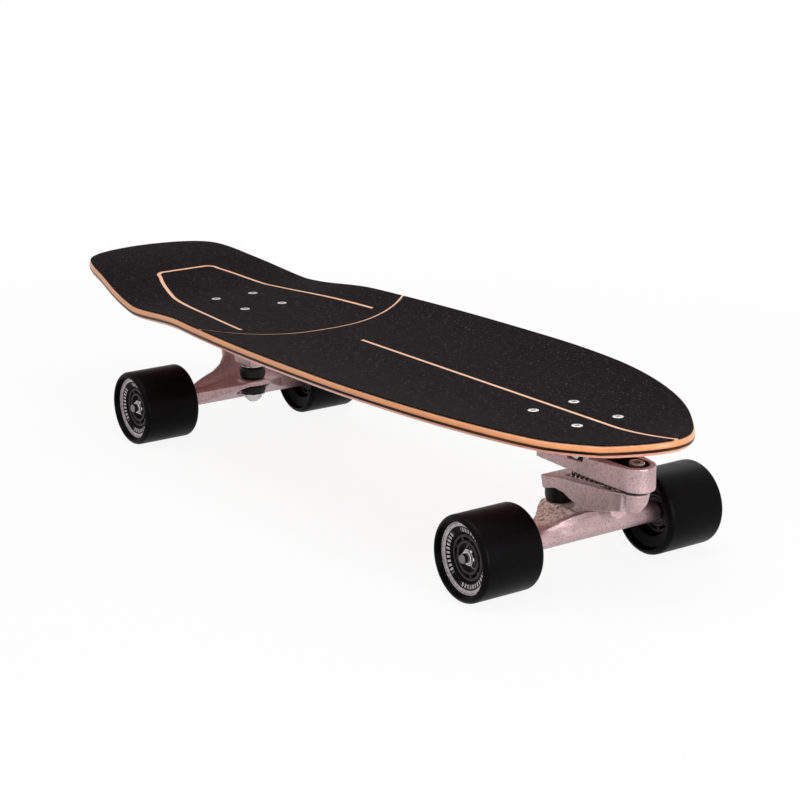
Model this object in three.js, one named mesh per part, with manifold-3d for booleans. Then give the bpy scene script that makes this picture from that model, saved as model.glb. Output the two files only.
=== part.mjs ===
// A surf skateboard: a kicktail deck on a swinging front truck and a plain rear truck.
// Millimetres, +Z up, +X to the nose. The origin is on the ground below the deck's middle.

import * as THREE from 'three';
import { mergeVertices } from 'three/addons/utils/BufferGeometryUtils.js';
import Module from 'manifold-3d';

const wasm = await Module();
wasm.setup();

// Clearances shared by the whole board
const gap = 0.3;
const overrun = 2;

// Deck
const deckLength = 830;
const deckWidth = 237.4;
const deckThickness = 9.7;
const deckUnderside = 117.5;
const railTopRound = 3.2;
const railBottomRound = 4.2;
const kickStart = -247;
const kickRise = 19.4;
const kickCurve = 1.3;
const noseStart = 343;
const noseRise = 7.2;
const noseCurve = 1.6;
const tailConcave = 7.7;
const noseConcave = 9.7;
const concaveTailFull = -137;
const concaveNoseFull = 163;
const concaveFadeStart = 183;
const concaveFadeEnd = 383;
const concaveFadeCurve = 2.3;
const deckStations = 38;
const tipShare = 0.06;
const flatShare = 0.2;
const acrossShares = [-1, -0.66, -flatShare, flatShare, 0.66, 1];

// Half of the deck's outline, from nose to tail: shares of half the length and of half the width
const outlineShares = [
  [1, 0],
  [0.99, 0.13],
  [0.957, 0.285],
  [0.902, 0.455],
  [0.829, 0.633],
  [0.732, 0.78],
  [0.586, 0.911],
  [0.391, 0.985],
  [0.199, 1],
  [-0.044, 0.987],
  [-0.286, 0.934],
  [-0.481, 0.866],
  [-0.601, 0.84],
  [-0.723, 0.782],
  [-0.815, 0.717],
  [-0.89, 0.666],
  [-0.935, 0.605],
  [-0.964, 0.5],
  [-0.984, 0.35],
  [-0.996, 0.17],
  [-1, 0],
];

// Grip tape and the bare wood lines between its three pieces
const gripThickness = 0.8;
const gripInset = 1.2;
const lineWidth = 4;
const stringerStart = -2;
const arcFront = -55;
const arcRadius = 170;
const arcSides = 96;
const tongueEnd = -321;
const tongueHalfWidth = 74;
const tongueEndHalf = 24;
const tongueCorner = 9;
const tongueSteps = 10;
// The tongue's side: shares of its length behind the arc, and of its half width
const tongueSideShares = [
  [0, 1],
  [0.3, 0.926],
  [0.65, 0.757],
  [0.86, 0.58],
  [0.955, 0.46],
];

// Deck bolts and lock nuts
const boltSpacingX = 54;
const boltSpacingY = 41.3;
const frontBoltsAt = 297;
const rearBoltsAt = -196;
const boltRadius = 2.4;
const boltHeadRadius = 4.6;
const boltHeadHeight = 2.8;
const boltRecessWidth = 1.1;
const boltRecessSpan = 4.6;
const boltRecessDepth = 1.6;
const boltTail = 1.3;
const lockNutFlats = 9.5;
const lockNutHeight = 5.6;
const lockNutCollar = 1.4;

// Wheels
const wheelRadius = 35;
const wheelWidth = 57.5;
const wheelMiddle = 92.65;
const wheelLip = 4.6;
const wheelLipSteps = 2;
// The dished face runs from the lip's foot in to the mouth of the core's bore
const lipFootRadius = 29.2;
const lipFootDepth = 5.2;
const mouthRadius = 20;
const mouthDepth = 7.4;
const coreRadius = 18.6;
const coreWall = 2.6;
const coreHubWall = 2.4;
const coreReach = 20.4;
const bearingFace = 14.6;
const coreWindows = 9;
const windowSpoke = 2.4;
const bearingRadius = 11;
const bearingWidth = 7;
const spacerRadius = 5.4;
const axleRadius = 4;
const axleNutFlats = 13;
const axleNutHeight = 6.5;
const axleTail = 4.6;
const tyreSides = 28;
const coreSides = 27;
const windowSteps = 2;

// Hangers, measured from the axle: outboard is away from the board's middle
const axleHeight = wheelRadius;
const frontAxleAt = 306.2;
const rearAxleAt = -220.2;
const kingpinInboard = 27;
const ringRadius = 14;
const ringTop = 17.2;
const ringBottom = 11.5;
const kingpinClearance = 2.1;
const beamEnd = 77.6;
const beamEndRadius = 7.6;
const beamBottom = 7.5;
const beamOutboard = 8.5;
const pocketRadius = 16.2;
const seatRadius = 15.2;
const pivotNoseRadius = 4.4;
const pivotNeckLength = 15;
const pivotTipLength = 4.5;
const cupWall = 1.9;
const cupFloor = 2.4;
const cupMouth = 4;

// Shares along the half beam: of its end's place, of the ring's reach and of the ring's heights
const beamStationShares = [0, 0.12, 0.21, 0.34, 0.5, 0.7, 0.86, 1];
const beamReachShares = [1, 0.97, 0.87, 0.62, 0.41, 0.28, 0.22, 0.2];
const beamUpperShares = [1, 1, 0.82, 0.66, 0.52, 0.42, 0.4, 0.38];
const beamLowerShares = [1, 1, 0.9, 0.5, 0, -0.32, -0.36, -0.34];
// The beam's section: shares of its outboard reach for the flat underside and the rounded top
const beamUnderShares = [-0.6, 0.5];
const beamTopShares = [-0.2, 0.6];
const beamRoundShares = [0.8, 0.6];
// The fin's section: shares of its half width and thickness at its corners
const finFlatShare = 0.35;
const finEdgeShare = 0.3;
// The pivot nose's outline: shares of its radius
const noseRootShare = 1.15;
const noseTipShares = [0.85, 0.45];
const noseShoulderShare = 0.6;

// Each truck's own sizes: the swinging front truck and the fixed rear truck.
// The fin's half widths, heights and places run from the beam up to the pivot's neck.
const frontTruck = {
  axleAt: frontAxleAt,
  outboard: 1,
  pivotOutboard: 33,
  pivotHeight: 27,
  kingpinSeat: 35.2,
  finWidths: [60, 42, 29, 18, 9, 7],
  finHeights: [-4, 8.5, 11.8, 14.8, 18, 20.5],
  finPlaces: [0, 2, 3, 6, 12, 17],
  finThickness: 6.5,
};
const rearTruck = {
  axleAt: rearAxleAt,
  outboard: -1,
  pivotOutboard: 31,
  pivotHeight: 47,
  kingpinSeat: 31.4,
  finWidths: [60, 52, 46, 35, 24, 14, 7, 5],
  finHeights: [-4, 9, 13, 17, 20, 24.5, 30, 37],
  finPlaces: [0, 2.5, 4, 6, 8, 12, 17, 22],
  finThickness: 6,
};

// Kingpins, bushings and washers
const kingpinRadius = 4.75;
const kingpinHeadRadius = 7.4;
const kingpinHeadHeight = 3.2;
const kingpinTail = 1.6;
const studDepth = 3.6;
const kingpinNutFlats = 14.3;
const kingpinNutHeight = 5.5;
const bushingRadius = 12.3;
const bushingWaist = 1.2;
const bushingShoulderShare = 0.25;
const roadBushingHeight = 8;
const washerRadius = 11.6;
const washerThickness = 1.5;
const roundSides = 18;
const smallSides = 9;

// Base castings
const flangeThickness = 8;
const flangeHalfWidth = 28;
const flangeEnd = 14;
const flangeCorner = 6;
const cornerSteps = 4;
const baseTop = deckUnderside - gap;
const flangeUnder = baseTop - flangeThickness;
const nutPocketRadius = 8.6;
const nutPocketHeight = 8;

// Front base and the swing pivot, which leans toward the nose
const pivotX = 368.5;
const pivotPlane = 86.7;
const pivotLean = THREE.MathUtils.degToRad(5.5);
const bossRadius = 15;
const bossTop = 105;
const bossSteps = 7;
const bossRecessFloor = 98.3;
const bossRecessRadius = 10.5;
const bossRecessBack = 29;
const recessEndShare = 0.35;
const wedgeStart = 283.5;
const wedgeWaist = 336;
const wedgeWaistHalf = 22;
const thrustRadius = 12.2;
const thrustGap = 3.2;
const pivotBoltRadius = 4;
const pivotHeadRadius = 6.2;
const pivotHeadHeight = 7;
const pivotSocketFlats = 6;
const pivotSocketDepth = 3.5;
const lugReach = 18;
const lugHalfWidth = 3;
const lugThickness = 4;
const lugBottom = 74;

// Swing arm: its side outline is measured from the front axle
const armHalfWidth = 15;
const armBack = -33.7;
const armNarrowing = 50;
const armOutline = [
  [armBack, 39.8],
  [-9, 43.4],
  [40.8, 46.9],
  [62.3, 48.3],
  [61.5, 33.4],
  [44.5, 29.5],
  [23.1, 24.6],
  [15.8, 23.9],
  [3.5, 28],
  [-5.2, 31.5],
  [-16.4, 32.7],
  [-29.6, 29.2],
  [-31.5, 30],
];
const armBossRadius = 12.4;
const armBossLength = 16.5;
const armBossSkirt = 7;
const armBossDraft = 1.2;
const armBossFoot = 7;
const neckClearance = 4.4;
const springSlotHalf = 6.6;
const springSlotStart = 293;
const springSlotFloor = 71.8;
const lugSweepHalf = 11.4;
const lugSweepBack = 6;

// Return spring between the arm's block and the lug
const springWire = 2;
const springRadius = 3.4;
const springHeight = 76.6;
const springCurls = 9;
const curlSteps = 8;
const wireSides = 5;
const plungerRadius = 4.4;
const plungerHead = 3;
const plungerStem = 10;
const plungerStemRadius = 2;

// Rear base: its column over the kingpin and its housing for the pivot cup
const columnHalfWidth = 11;
const columnBack = 15;
const housingRadius = 9.2;
const housingLength = 12;
const webLift = 12;
// The web's underside from the column out to the housing: shares of the pivot's reach and of the lift
const webShares = [[0.25, 1], [0.7, 0.9], [1, 0.6]];
const webStartShare = 0.3;

const cast = new THREE.MeshStandardMaterial({ color: 0xa3979b, roughness: 0.5, metalness: 0.8 });
const steel = new THREE.MeshStandardMaterial({ color: 0xc9c9cb, roughness: 0.3, metalness: 1 });
const maple = new THREE.MeshStandardMaterial({ color: 0xe5a06a, roughness: 0.5, metalness: 0 });
const grit = new THREE.MeshStandardMaterial({ color: 0x1c1a20, roughness: 0.95, metalness: 0 });
const urethane = new THREE.MeshStandardMaterial({ color: 0x17161a, roughness: 0.3, metalness: 0 });
const nylon = new THREE.MeshStandardMaterial({ color: 0x222228, roughness: 0.5, metalness: 0 });
const bushingRubber = new THREE.MeshStandardMaterial({ color: 0x1b1b1f, roughness: 0.6, metalness: 0 });

const board = new THREE.Group();

function place(parent, name, geometry, material) {
  geometry.computeVertexNormals();
  const mesh = new THREE.Mesh(geometry, material);
  mesh.name = name;
  parent.add(mesh);
  return mesh;
}

// Turns a closed geometry into a solid that can be joined and cut
function solid(geometry) {
  const bare = geometry.clone();
  bare.deleteAttribute('normal');
  bare.deleteAttribute('uv');
  const merged = mergeVertices(bare);
  const vertProperties = new Float32Array(merged.attributes.position.array);
  const triVerts = new Uint32Array(merged.index.array);
  return new wasm.Manifold(new wasm.Mesh({ numProp: 3, vertProperties, triVerts }));
}

function geometryOf(manifold) {
  const mesh = manifold.getMesh();
  const geometry = new THREE.BufferGeometry();
  geometry.setAttribute('position', new THREE.Float32BufferAttribute(mesh.vertProperties, mesh.numProp));
  geometry.setIndex(new THREE.Uint32BufferAttribute(mesh.triVerts, 1));
  return geometry;
}

function join(first, ...others) {
  return others.reduce((sum, other) => sum.add(other), first);
}

function cut(first, ...others) {
  return others.reduce((rest, other) => rest.subtract(other), first);
}

// A closed skin over rings of points, each ring with as many points as the next.
// Each patch folds by its place alone, so two skins over the same stations fold alike.
function loft(rings) {
  const count = rings[0].length;
  const corners = rings.flat();
  const spread = (index) => corners[index].x * Math.abs(corners[index].y);
  const positions = rings.flat().flatMap((point) => [point.x, point.y, point.z]);
  const faces = [];
  for (let i = 0; i + 1 < rings.length; i += 1) {
    for (let j = 0; j < count; j += 1) {
      const next = (j + 1) % count;
      const [a, b] = [i * count + j, i * count + next];
      const [c, d] = [b + count, a + count];
      if (spread(a) + spread(c) > spread(b) + spread(d)) {
        faces.push(a, b, c, a, c, d);
      } else {
        faces.push(a, b, d, b, c, d);
      }
    }
  }
  const last = (rings.length - 1) * count;
  for (let j = 1; j + 1 < count; j += 1) {
    faces.push(0, j + 1, j, last, last + j, last + j + 1);
  }
  const geometry = new THREE.BufferGeometry();
  geometry.setAttribute('position', new THREE.Float32BufferAttribute(positions, 3));
  geometry.setIndex(signedVolume(positions, faces) > 0 ? faces : faces.reverse());
  return geometry;
}

function signedVolume(positions, faces) {
  const corner = (index) => new THREE.Vector3().fromArray(positions, 3 * index);
  let sum = 0;
  for (let i = 0; i < faces.length; i += 3) {
    sum += corner(faces[i]).dot(corner(faces[i + 1]).cross(corner(faces[i + 2])));
  }
  return sum;
}

// A round bar that stands on z = from
function bar(radius, from, to, sides = roundSides) {
  const geometry = new THREE.CylinderGeometry(radius, radius, to - from, sides);
  return geometry.rotateX(Math.PI / 2).translate(0, 0, (from + to) / 2);
}

function hexBar(flats, from, to) {
  return bar(flats / Math.sqrt(3), from, to, 6);
}

function block(x, y, z) {
  const geometry = new THREE.BoxGeometry(x[1] - x[0], y[1] - y[0], z[1] - z[0]);
  return geometry.translate((x[0] + x[1]) / 2, (y[0] + y[1]) / 2, (z[0] + z[1]) / 2);
}

// A profile of [radius, height] points turned about Z
function turned(profile, sides = roundSides) {
  const points = profile.map(([radius, height]) => new THREE.Vector2(radius, height));
  return new THREE.LatheGeometry(points, sides).rotateX(Math.PI / 2);
}

// A plan outline of [x, y] points, standing from one height to another
function plan(points, from, to) {
  const shape = new THREE.Shape(points.map(([x, y]) => new THREE.Vector2(x, y)));
  const geometry = new THREE.ExtrudeGeometry(shape, { depth: to - from, bevelEnabled: false });
  return geometry.translate(0, 0, from);
}

// A side outline of [x, z] points, as wide as twice the half width
function side(points, halfWidth) {
  const shape = new THREE.Shape(points.map(([x, z]) => new THREE.Vector2(x, z)));
  const geometry = new THREE.ExtrudeGeometry(shape, { depth: 2 * halfWidth, bevelEnabled: false });
  return geometry.rotateX(Math.PI / 2).translate(0, halfWidth, 0);
}

// Points on an arc, from one angle to another
function arc(x, y, radius, from, to, steps) {
  return Array.from({ length: steps + 1 }, (_, i) => {
    const angle = from + ((to - from) * i) / steps;
    return [x + radius * Math.cos(angle), y + radius * Math.sin(angle)];
  });
}

function roundedPlate(x, y, corner, from, to) {
  const quarter = Math.PI / 2;
  const points = [
    ...arc(x[1] - corner, y[1] - corner, corner, 0, quarter, cornerSteps),
    ...arc(x[0] + corner, y[1] - corner, corner, quarter, 2 * quarter, cornerSteps),
    ...arc(x[0] + corner, y[0] + corner, corner, 2 * quarter, 3 * quarter, cornerSteps),
    ...arc(x[1] - corner, y[0] + corner, corner, 3 * quarter, 4 * quarter, cornerSteps),
  ];
  return plan(points, from, to);
}

function smooth(value, from, to) {
  return THREE.MathUtils.smoothstep(value, from, to);
}

// Deck surface: how far it lies above its flat middle
function riseAt(x) {
  const alongTail = THREE.MathUtils.clamp((kickStart - x) / (kickStart + deckLength / 2), 0, 1);
  const alongNose = Math.max(0, (x - noseStart) / (deckLength / 2 - noseStart));
  const tail = kickRise * Math.sin((Math.PI / 2) * alongTail ** kickCurve);
  return tail + noseRise * alongNose ** noseCurve;
}

function concaveAt(x) {
  const along = THREE.MathUtils.clamp((x - concaveTailFull) / (concaveNoseFull - concaveTailFull), 0, 1);
  const depth = THREE.MathUtils.lerp(tailConcave, noseConcave, along);
  const fade = THREE.MathUtils.clamp((x - concaveFadeStart) / (concaveFadeEnd - concaveFadeStart), 0, 1);
  return depth * smooth(x, kickStart, concaveTailFull) * (1 - fade ** concaveFadeCurve);
}

// The middle strip is flat and the concave climbs from its sides
function liftAt(x, acrossShare) {
  const beyondFlat = Math.max(0, Math.abs(acrossShare) - flatShare) / (1 - flatShare);
  return riseAt(x) + concaveAt(x) * beyondFlat ** 2;
}

// The outline as stations from nose to tail, drawn in by an inset along its normal
function outlineStations(inset) {
  const half = outlineShares.map(([along, across]) => [(along * deckLength) / 2, (across * deckWidth) / 2]);
  const mirrored = half.slice(1, -1).reverse().map(([x, y]) => [x, -y]);
  const points = [...half, ...mirrored].map(([x, y]) => new THREE.Vector3(x, y, 0));
  const curve = new THREE.CatmullRomCurve3(points, true);
  return Array.from({ length: deckStations }, (_, i) => {
    const share = (0.5 * (i + tipShare)) / (deckStations - 1 + 2 * tipShare);
    const point = curve.getPoint(share);
    const tangent = curve.getTangent(share);
    return { x: point.x - inset * tangent.y, y: Math.max(point.y + inset * tangent.x, 0) };
  });
}

function deckRings(inset, underside, thickness, topRound, bottomRound) {
  const outer = outlineStations(0);
  const halfway = Math.PI / 4;
  const edge = [
    { round: topRound, turn: 0, base: 1 },
    { round: topRound, turn: halfway, base: 1 },
    { round: topRound, turn: 2 * halfway, base: 1 },
    { round: bottomRound, turn: 2 * halfway, base: 0 },
    { round: bottomRound, turn: halfway, base: 0 },
    { round: bottomRound, turn: 0, base: 0 },
  ].map(({ round, turn, base }) => {
    const drop = round * (1 - Math.sin(halfway * 2 - turn));
    return {
      stations: outlineStations(inset + round * (1 - Math.sin(turn))),
      height: base ? thickness - drop : drop,
    };
  });
  const point = (stations, i, share, height) => {
    const { x, y } = stations[i];
    const acrossShare = (y * share) / outer[i].y;
    return new THREE.Vector3(x, y * share, underside + height + liftAt(x, acrossShare));
  };
  const [top, , , , , bottom] = edge;
  return outer.map((_, i) => [
    ...acrossShares.map((share) => point(top.stations, i, share, top.height)),
    ...edge.slice(1, -1).map(({ stations, height }) => point(stations, i, 1, height)),
    ...acrossShares.toReversed().map((share) => point(bottom.stations, i, share, bottom.height)),
    ...edge.slice(1, -1).reverse().map(({ stations, height }) => point(stations, i, -1, height)),
  ]);
}

function boltPlaces(middle) {
  const signs = [[-1, -1], [-1, 1], [1, -1], [1, 1]];
  return signs.map(([x, y]) => [middle + (x * boltSpacingX) / 2, (y * boltSpacingY) / 2]);
}

const deckTop = deckUnderside + deckThickness;
const gripTop = deckTop + gap + gripThickness;
const allBolts = [
  ...boltPlaces(frontBoltsAt).map((at, i) => ({ at, name: `front_${i + 1}` })),
  ...boltPlaces(rearBoltsAt).map((at, i) => ({ at, name: `rear_${i + 1}` })),
];

// The head's seat and the shank's hole, wider than the bolt by a clearance
function boltBody(clearance, bottom) {
  const top = gripTop;
  const headBottom = top - boltHeadHeight;
  return turned([
    [0, bottom],
    [boltRadius + clearance, bottom],
    [boltRadius + clearance, headBottom],
    [boltHeadRadius + clearance, top + clearance],
    [0, top + clearance],
  ], smallSides);
}

function makeDeck() {
  let body = solid(loft(deckRings(0, deckUnderside, deckThickness, railTopRound, railBottomRound)));
  for (const { at } of allBolts) {
    body = body.subtract(solid(boltBody(gap, deckUnderside - overrun).translate(at[0], at[1], 0)));
  }
  place(board, 'deck', geometryOf(body), maple);
}

// The tongue's outline in plan, grown by an amount on every side
function tongueOutline(grow) {
  const length = arcFront - tongueEnd;
  const sideCurve = new THREE.SplineCurve(tongueSideShares.map(([along, across]) => (
    new THREE.Vector2(arcFront - along * length, across * tongueHalfWidth)
  )));
  const quarter = Math.PI / 2;
  const upper = [
    [deckLength / 2 + overrun, tongueHalfWidth + grow],
    ...sideCurve.getPoints(tongueSteps).map(({ x, y }) => [x, y + grow]),
    ...arc(tongueEnd + tongueCorner, tongueEndHalf, tongueCorner + grow, quarter, 2 * quarter, cornerSteps),
  ];
  const lower = upper.toReversed().map(([x, y]) => [x, -y]);
  return [...upper, ...lower];
}

function makeGrip() {
  const from = deckUnderside - overrun;
  const to = gripTop + kickRise + noseConcave + overrun;
  const rings = deckRings(gripInset, deckTop + gap, gripThickness, 0, 0);
  let sheet = solid(loft(rings));
  for (const { at } of allBolts) {
    sheet = sheet.subtract(solid(boltBody(gap, from).translate(at[0], at[1], 0)));
  }
  const arcCentre = arcFront - arcRadius;
  const disc = (radius) => solid(bar(radius, from, to, arcSides).translate(arcCentre, 0, 0));
  const behind = solid(block([-deckLength, arcCentre], [-deckWidth, deckWidth], [from, to]));
  const tailSide = join(disc(arcRadius - lineWidth / 2), behind);
  const noseSide = join(disc(arcRadius + lineWidth / 2), behind);
  const tongue = solid(plan(tongueOutline(-lineWidth / 2), from, to));
  const tongueHole = solid(plan(tongueOutline(lineWidth / 2), from, to));
  const half = lineWidth / 2;
  const stringer = solid(block([stringerStart, deckLength], [-half, half], [from, to]));
  place(board, 'grip_tail', geometryOf(cut(sheet.intersect(tailSide), tongueHole)), grit);
  place(board, 'grip_tongue', geometryOf(sheet.intersect(tailSide).intersect(tongue)), grit);
  place(board, 'grip_nose', geometryOf(cut(sheet, noseSide, stringer)), grit);
}

function makeDeckBolts() {
  const nutTop = flangeUnder - gap;
  const nutBottom = nutTop - lockNutHeight;
  const recess = [-boltRecessSpan / 2, boltRecessSpan / 2];
  const narrow = [-boltRecessWidth / 2, boltRecessWidth / 2];
  const depth = [gripTop - boltRecessDepth, gripTop + overrun];
  const cross = join(solid(block(recess, narrow, depth)), solid(block(narrow, recess, depth)));
  const bolt = geometryOf(cut(solid(boltBody(0, nutBottom - boltTail)), cross));
  const collar = hexBar(lockNutFlats, nutBottom + lockNutCollar, nutTop);
  const crown = bar(lockNutFlats / 2 - gap, nutBottom, nutTop - overrun, smallSides);
  const bore = bar(boltRadius + gap, nutBottom - overrun, nutTop + overrun, smallSides);
  const nut = geometryOf(cut(join(solid(collar), solid(crown)), solid(bore)));
  for (const { at, name } of allBolts) {
    place(board, `deck_bolt_${name}`, bolt.clone(), steel).position.set(at[0], at[1], 0);
    place(board, `lock_nut_${name}`, nut.clone(), steel).position.set(at[0], at[1], 0);
  }
}

// Hanger, in the truck's own frame: x outboard, z up from the axle
function hangerBeam() {
  const reach = kingpinInboard + ringRadius;
  const half = beamStationShares.map((share, i) => {
    const inboard = -reach * beamReachShares[i];
    const top = ringTop * beamUpperShares[i];
    const under = Math.max(ringBottom * beamLowerShares[i], -beamBottom);
    return [
      [beamOutboard * beamUnderShares[1], -beamBottom],
      [beamOutboard * beamUnderShares[0], -beamBottom],
      [Math.min(inboard, -beamOutboard), under],
      [inboard, top],
      [beamOutboard * beamTopShares[0], top],
      [beamOutboard * beamTopShares[1], top * beamRoundShares[0]],
      [beamOutboard, 0],
      [beamOutboard, -beamBottom * beamRoundShares[1]],
    ].map(([x, z]) => new THREE.Vector3(x, share * beamEnd, z));
  });
  const flip = ({ x, y, z }) => new THREE.Vector3(x, -y, z);
  const mirrored = half.slice(1).reverse().map((ring) => ring.map(flip));
  return loft([...mirrored, ...half]);
}

// The web that rises from the beam to the pivot, broad at the beam and slim at the neck
function hangerFin(truck) {
  return loft(truck.finHeights.map((height, i) => {
    const width = truck.finWidths[i];
    const flat = width * finFlatShare;
    const thick = truck.finThickness;
    const edge = thick * finEdgeShare;
    return [
      [thick, flat],
      [edge, width],
      [-edge, width],
      [-thick, flat],
      [-thick, -flat],
      [-edge, -width],
      [edge, -width],
      [thick, -flat],
    ].map(([out, y]) => new THREE.Vector3(truck.finPlaces[i] + out, y, height));
  }));
}

function ringMiddle() {
  return new THREE.Vector3(-kingpinInboard, 0, (ringTop + ringBottom) / 2);
}

function pivotPoint(truck) {
  return new THREE.Vector3(truck.pivotOutboard, 0, truck.pivotHeight);
}

// Lays a shape that stands on Z along the steering axis, with its zero at the pivot point
function alongSteering(truck, geometry) {
  const pivot = pivotPoint(truck);
  const direction = pivot.clone().sub(ringMiddle()).normalize();
  const turn = new THREE.Quaternion().setFromUnitVectors(new THREE.Vector3(0, 0, 1), direction);
  return geometry.applyQuaternion(turn).translate(pivot.x, pivot.y, pivot.z);
}

function pivotNose() {
  return turned([
    [0, -pivotNeckLength],
    [pivotNoseRadius * noseRootShare, -pivotNeckLength],
    [pivotNoseRadius, -cupMouth],
    [pivotNoseRadius, 0],
    [pivotNoseRadius * noseTipShares[0], pivotTipLength * noseShoulderShare],
    [pivotNoseRadius * noseTipShares[1], pivotTipLength],
    [0, pivotTipLength],
  ]);
}

function makeHanger(group, truck, name) {
  const ring = bar(ringRadius, ringBottom, ringTop).translate(-kingpinInboard, 0, 0);
  const ends = bar(beamEndRadius, -beamEnd, beamEnd).rotateX(Math.PI / 2);
  const nose = alongSteering(truck, pivotNose());
  let body = join(solid(hangerBeam()), solid(ring), solid(ends), solid(hangerFin(truck)), solid(nose));
  const top = truck.kingpinSeat + overrun;
  const under = -beamBottom - overrun;
  const kingpinHole = bar(kingpinRadius + kingpinClearance, under, top).translate(-kingpinInboard, 0, 0);
  const pocket = bar(pocketRadius, under - kingpinNutHeight, ringBottom).translate(-kingpinInboard, 0, 0);
  const seat = bar(seatRadius, ringTop, top).translate(-kingpinInboard, 0, 0);
  const axleHole = bar(axleRadius + gap, -beamEnd - overrun, beamEnd + overrun).rotateX(Math.PI / 2);
  body = cut(body, solid(kingpinHole), solid(pocket), solid(seat), solid(axleHole));
  place(group, `${name}_hanger`, geometryOf(body), cast);
}

function cupRadius() {
  return pivotNoseRadius + gap + cupWall;
}

function makePivotCup(group, truck, name) {
  const inner = pivotNoseRadius + gap;
  const end = pivotTipLength + gap;
  const cup = turned([
    [inner, -cupMouth],
    [cupRadius(), -cupMouth],
    [cupRadius(), end + cupFloor],
    [0, end + cupFloor],
    [0, end],
    [inner * noseShoulderShare, end],
    [inner, pivotTipLength * noseShoulderShare],
    [inner, -cupMouth],
  ]);
  place(group, `${name}_pivot_cup`, alongSteering(truck, cup), bushingRubber);
}

// The room for a pivot cup, open at its mouth
function cupBore() {
  return bar(cupRadius() + gap, -cupMouth - overrun, pivotTipLength + cupFloor + 2 * gap);
}

// The wall around a pivot cup
function cupHousing() {
  return bar(housingRadius, -cupMouth + gap, housingLength);
}

function washer(bottom) {
  const bore = kingpinRadius + gap;
  return turned([
    [bore, bottom],
    [washerRadius, bottom],
    [washerRadius, bottom + washerThickness],
    [bore, bottom + washerThickness],
    [bore, bottom],
  ]).translate(-kingpinInboard, 0, 0);
}

function bushing(bottom, top) {
  const bore = kingpinRadius + gap;
  const shoulder = (top - bottom) * bushingShoulderShare;
  const profile = [
    [bore, bottom],
    [bushingRadius - bushingWaist, bottom],
    [bushingRadius, bottom + shoulder],
    [bushingRadius, top - shoulder],
    [bushingRadius - bushingWaist, top],
    [bore, top],
    [bore, bottom],
  ];
  return turned(profile).translate(-kingpinInboard, 0, 0);
}

// Bushings on both sides of the ring, the road washer, the nut and the kingpin
function makeSteering(group, truck, name, washerAbove) {
  const boardTop = truck.kingpinSeat - gap - (washerAbove ? washerThickness + gap : 0);
  const roadTop = ringBottom - gap;
  const roadBottom = roadTop - roadBushingHeight;
  const washerBottom = roadBottom - gap - washerThickness;
  const nutTop = washerBottom - gap;
  const nutBottom = nutTop - kingpinNutHeight;
  place(group, `${name}_board_bushing`, bushing(ringTop + gap, boardTop), bushingRubber);
  place(group, `${name}_road_bushing`, bushing(roadBottom, roadTop), bushingRubber);
  place(group, `${name}_road_washer`, washer(washerBottom), steel);
  if (washerAbove) {
    place(group, `${name}_board_washer`, washer(boardTop + gap), steel);
  }
  const bore = bar(kingpinRadius + gap, nutBottom - overrun, nutTop + overrun);
  const nut = cut(solid(hexBar(kingpinNutFlats, nutBottom, nutTop)), solid(bore));
  place(group, `${name}_kingpin_nut`, geometryOf(nut).translate(-kingpinInboard, 0, 0), steel);
  return nutBottom - kingpinTail;
}

function kingpin(bottom, headBottom) {
  return turned([
    [0, bottom],
    [kingpinRadius, bottom],
    [kingpinRadius, headBottom],
    [kingpinHeadRadius, headBottom],
    [kingpinHeadRadius, headBottom + kingpinHeadHeight],
    [0, headBottom + kingpinHeadHeight],
  ]).translate(-kingpinInboard, 0, 0);
}

// Wheel pieces, turned about the axle with +Z toward the outside of the board
function tyreProfile() {
  const half = wheelWidth / 2;
  const bore = coreRadius + gap;
  const lip = (height, from) => arc(
    wheelRadius - wheelLip, height, wheelLip, from, from + Math.PI / 2, wheelLipSteps,
  );
  return [
    [bore, -bearingFace],
    [mouthRadius, -half + mouthDepth],
    [lipFootRadius, -half + lipFootDepth],
    ...lip(-half + wheelLip, -Math.PI / 2),
    ...lip(half - wheelLip, 0),
    [lipFootRadius, half - lipFootDepth],
    [mouthRadius, half - mouthDepth],
    [bore, coreReach],
    [bore, -bearingFace],
  ];
}

function coreShape() {
  const vectors = (points) => points.map(([x, y]) => new THREE.Vector2(x, y));
  const ring = (radius, sides) => vectors(arc(0, 0, radius, 0, 2 * Math.PI, sides).slice(1));
  const shape = new THREE.Shape(ring(coreRadius, coreSides));
  shape.holes.push(new THREE.Path(ring(bearingRadius + gap, roundSides)));
  const inner = bearingRadius + gap + coreHubWall;
  const outer = coreRadius - coreWall;
  const pitch = (2 * Math.PI) / coreWindows;
  for (let i = 0; i < coreWindows; i += 1) {
    const middle = i * pitch;
    const innerHalf = pitch / 2 - windowSpoke / 2 / inner;
    const outerHalf = pitch / 2 - windowSpoke / 2 / outer;
    shape.holes.push(new THREE.Path(vectors([
      ...arc(0, 0, outer, middle - outerHalf, middle + outerHalf, windowSteps),
      ...arc(0, 0, inner, middle + innerHalf, middle - innerHalf, windowSteps),
    ])));
  }
  return shape;
}

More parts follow.
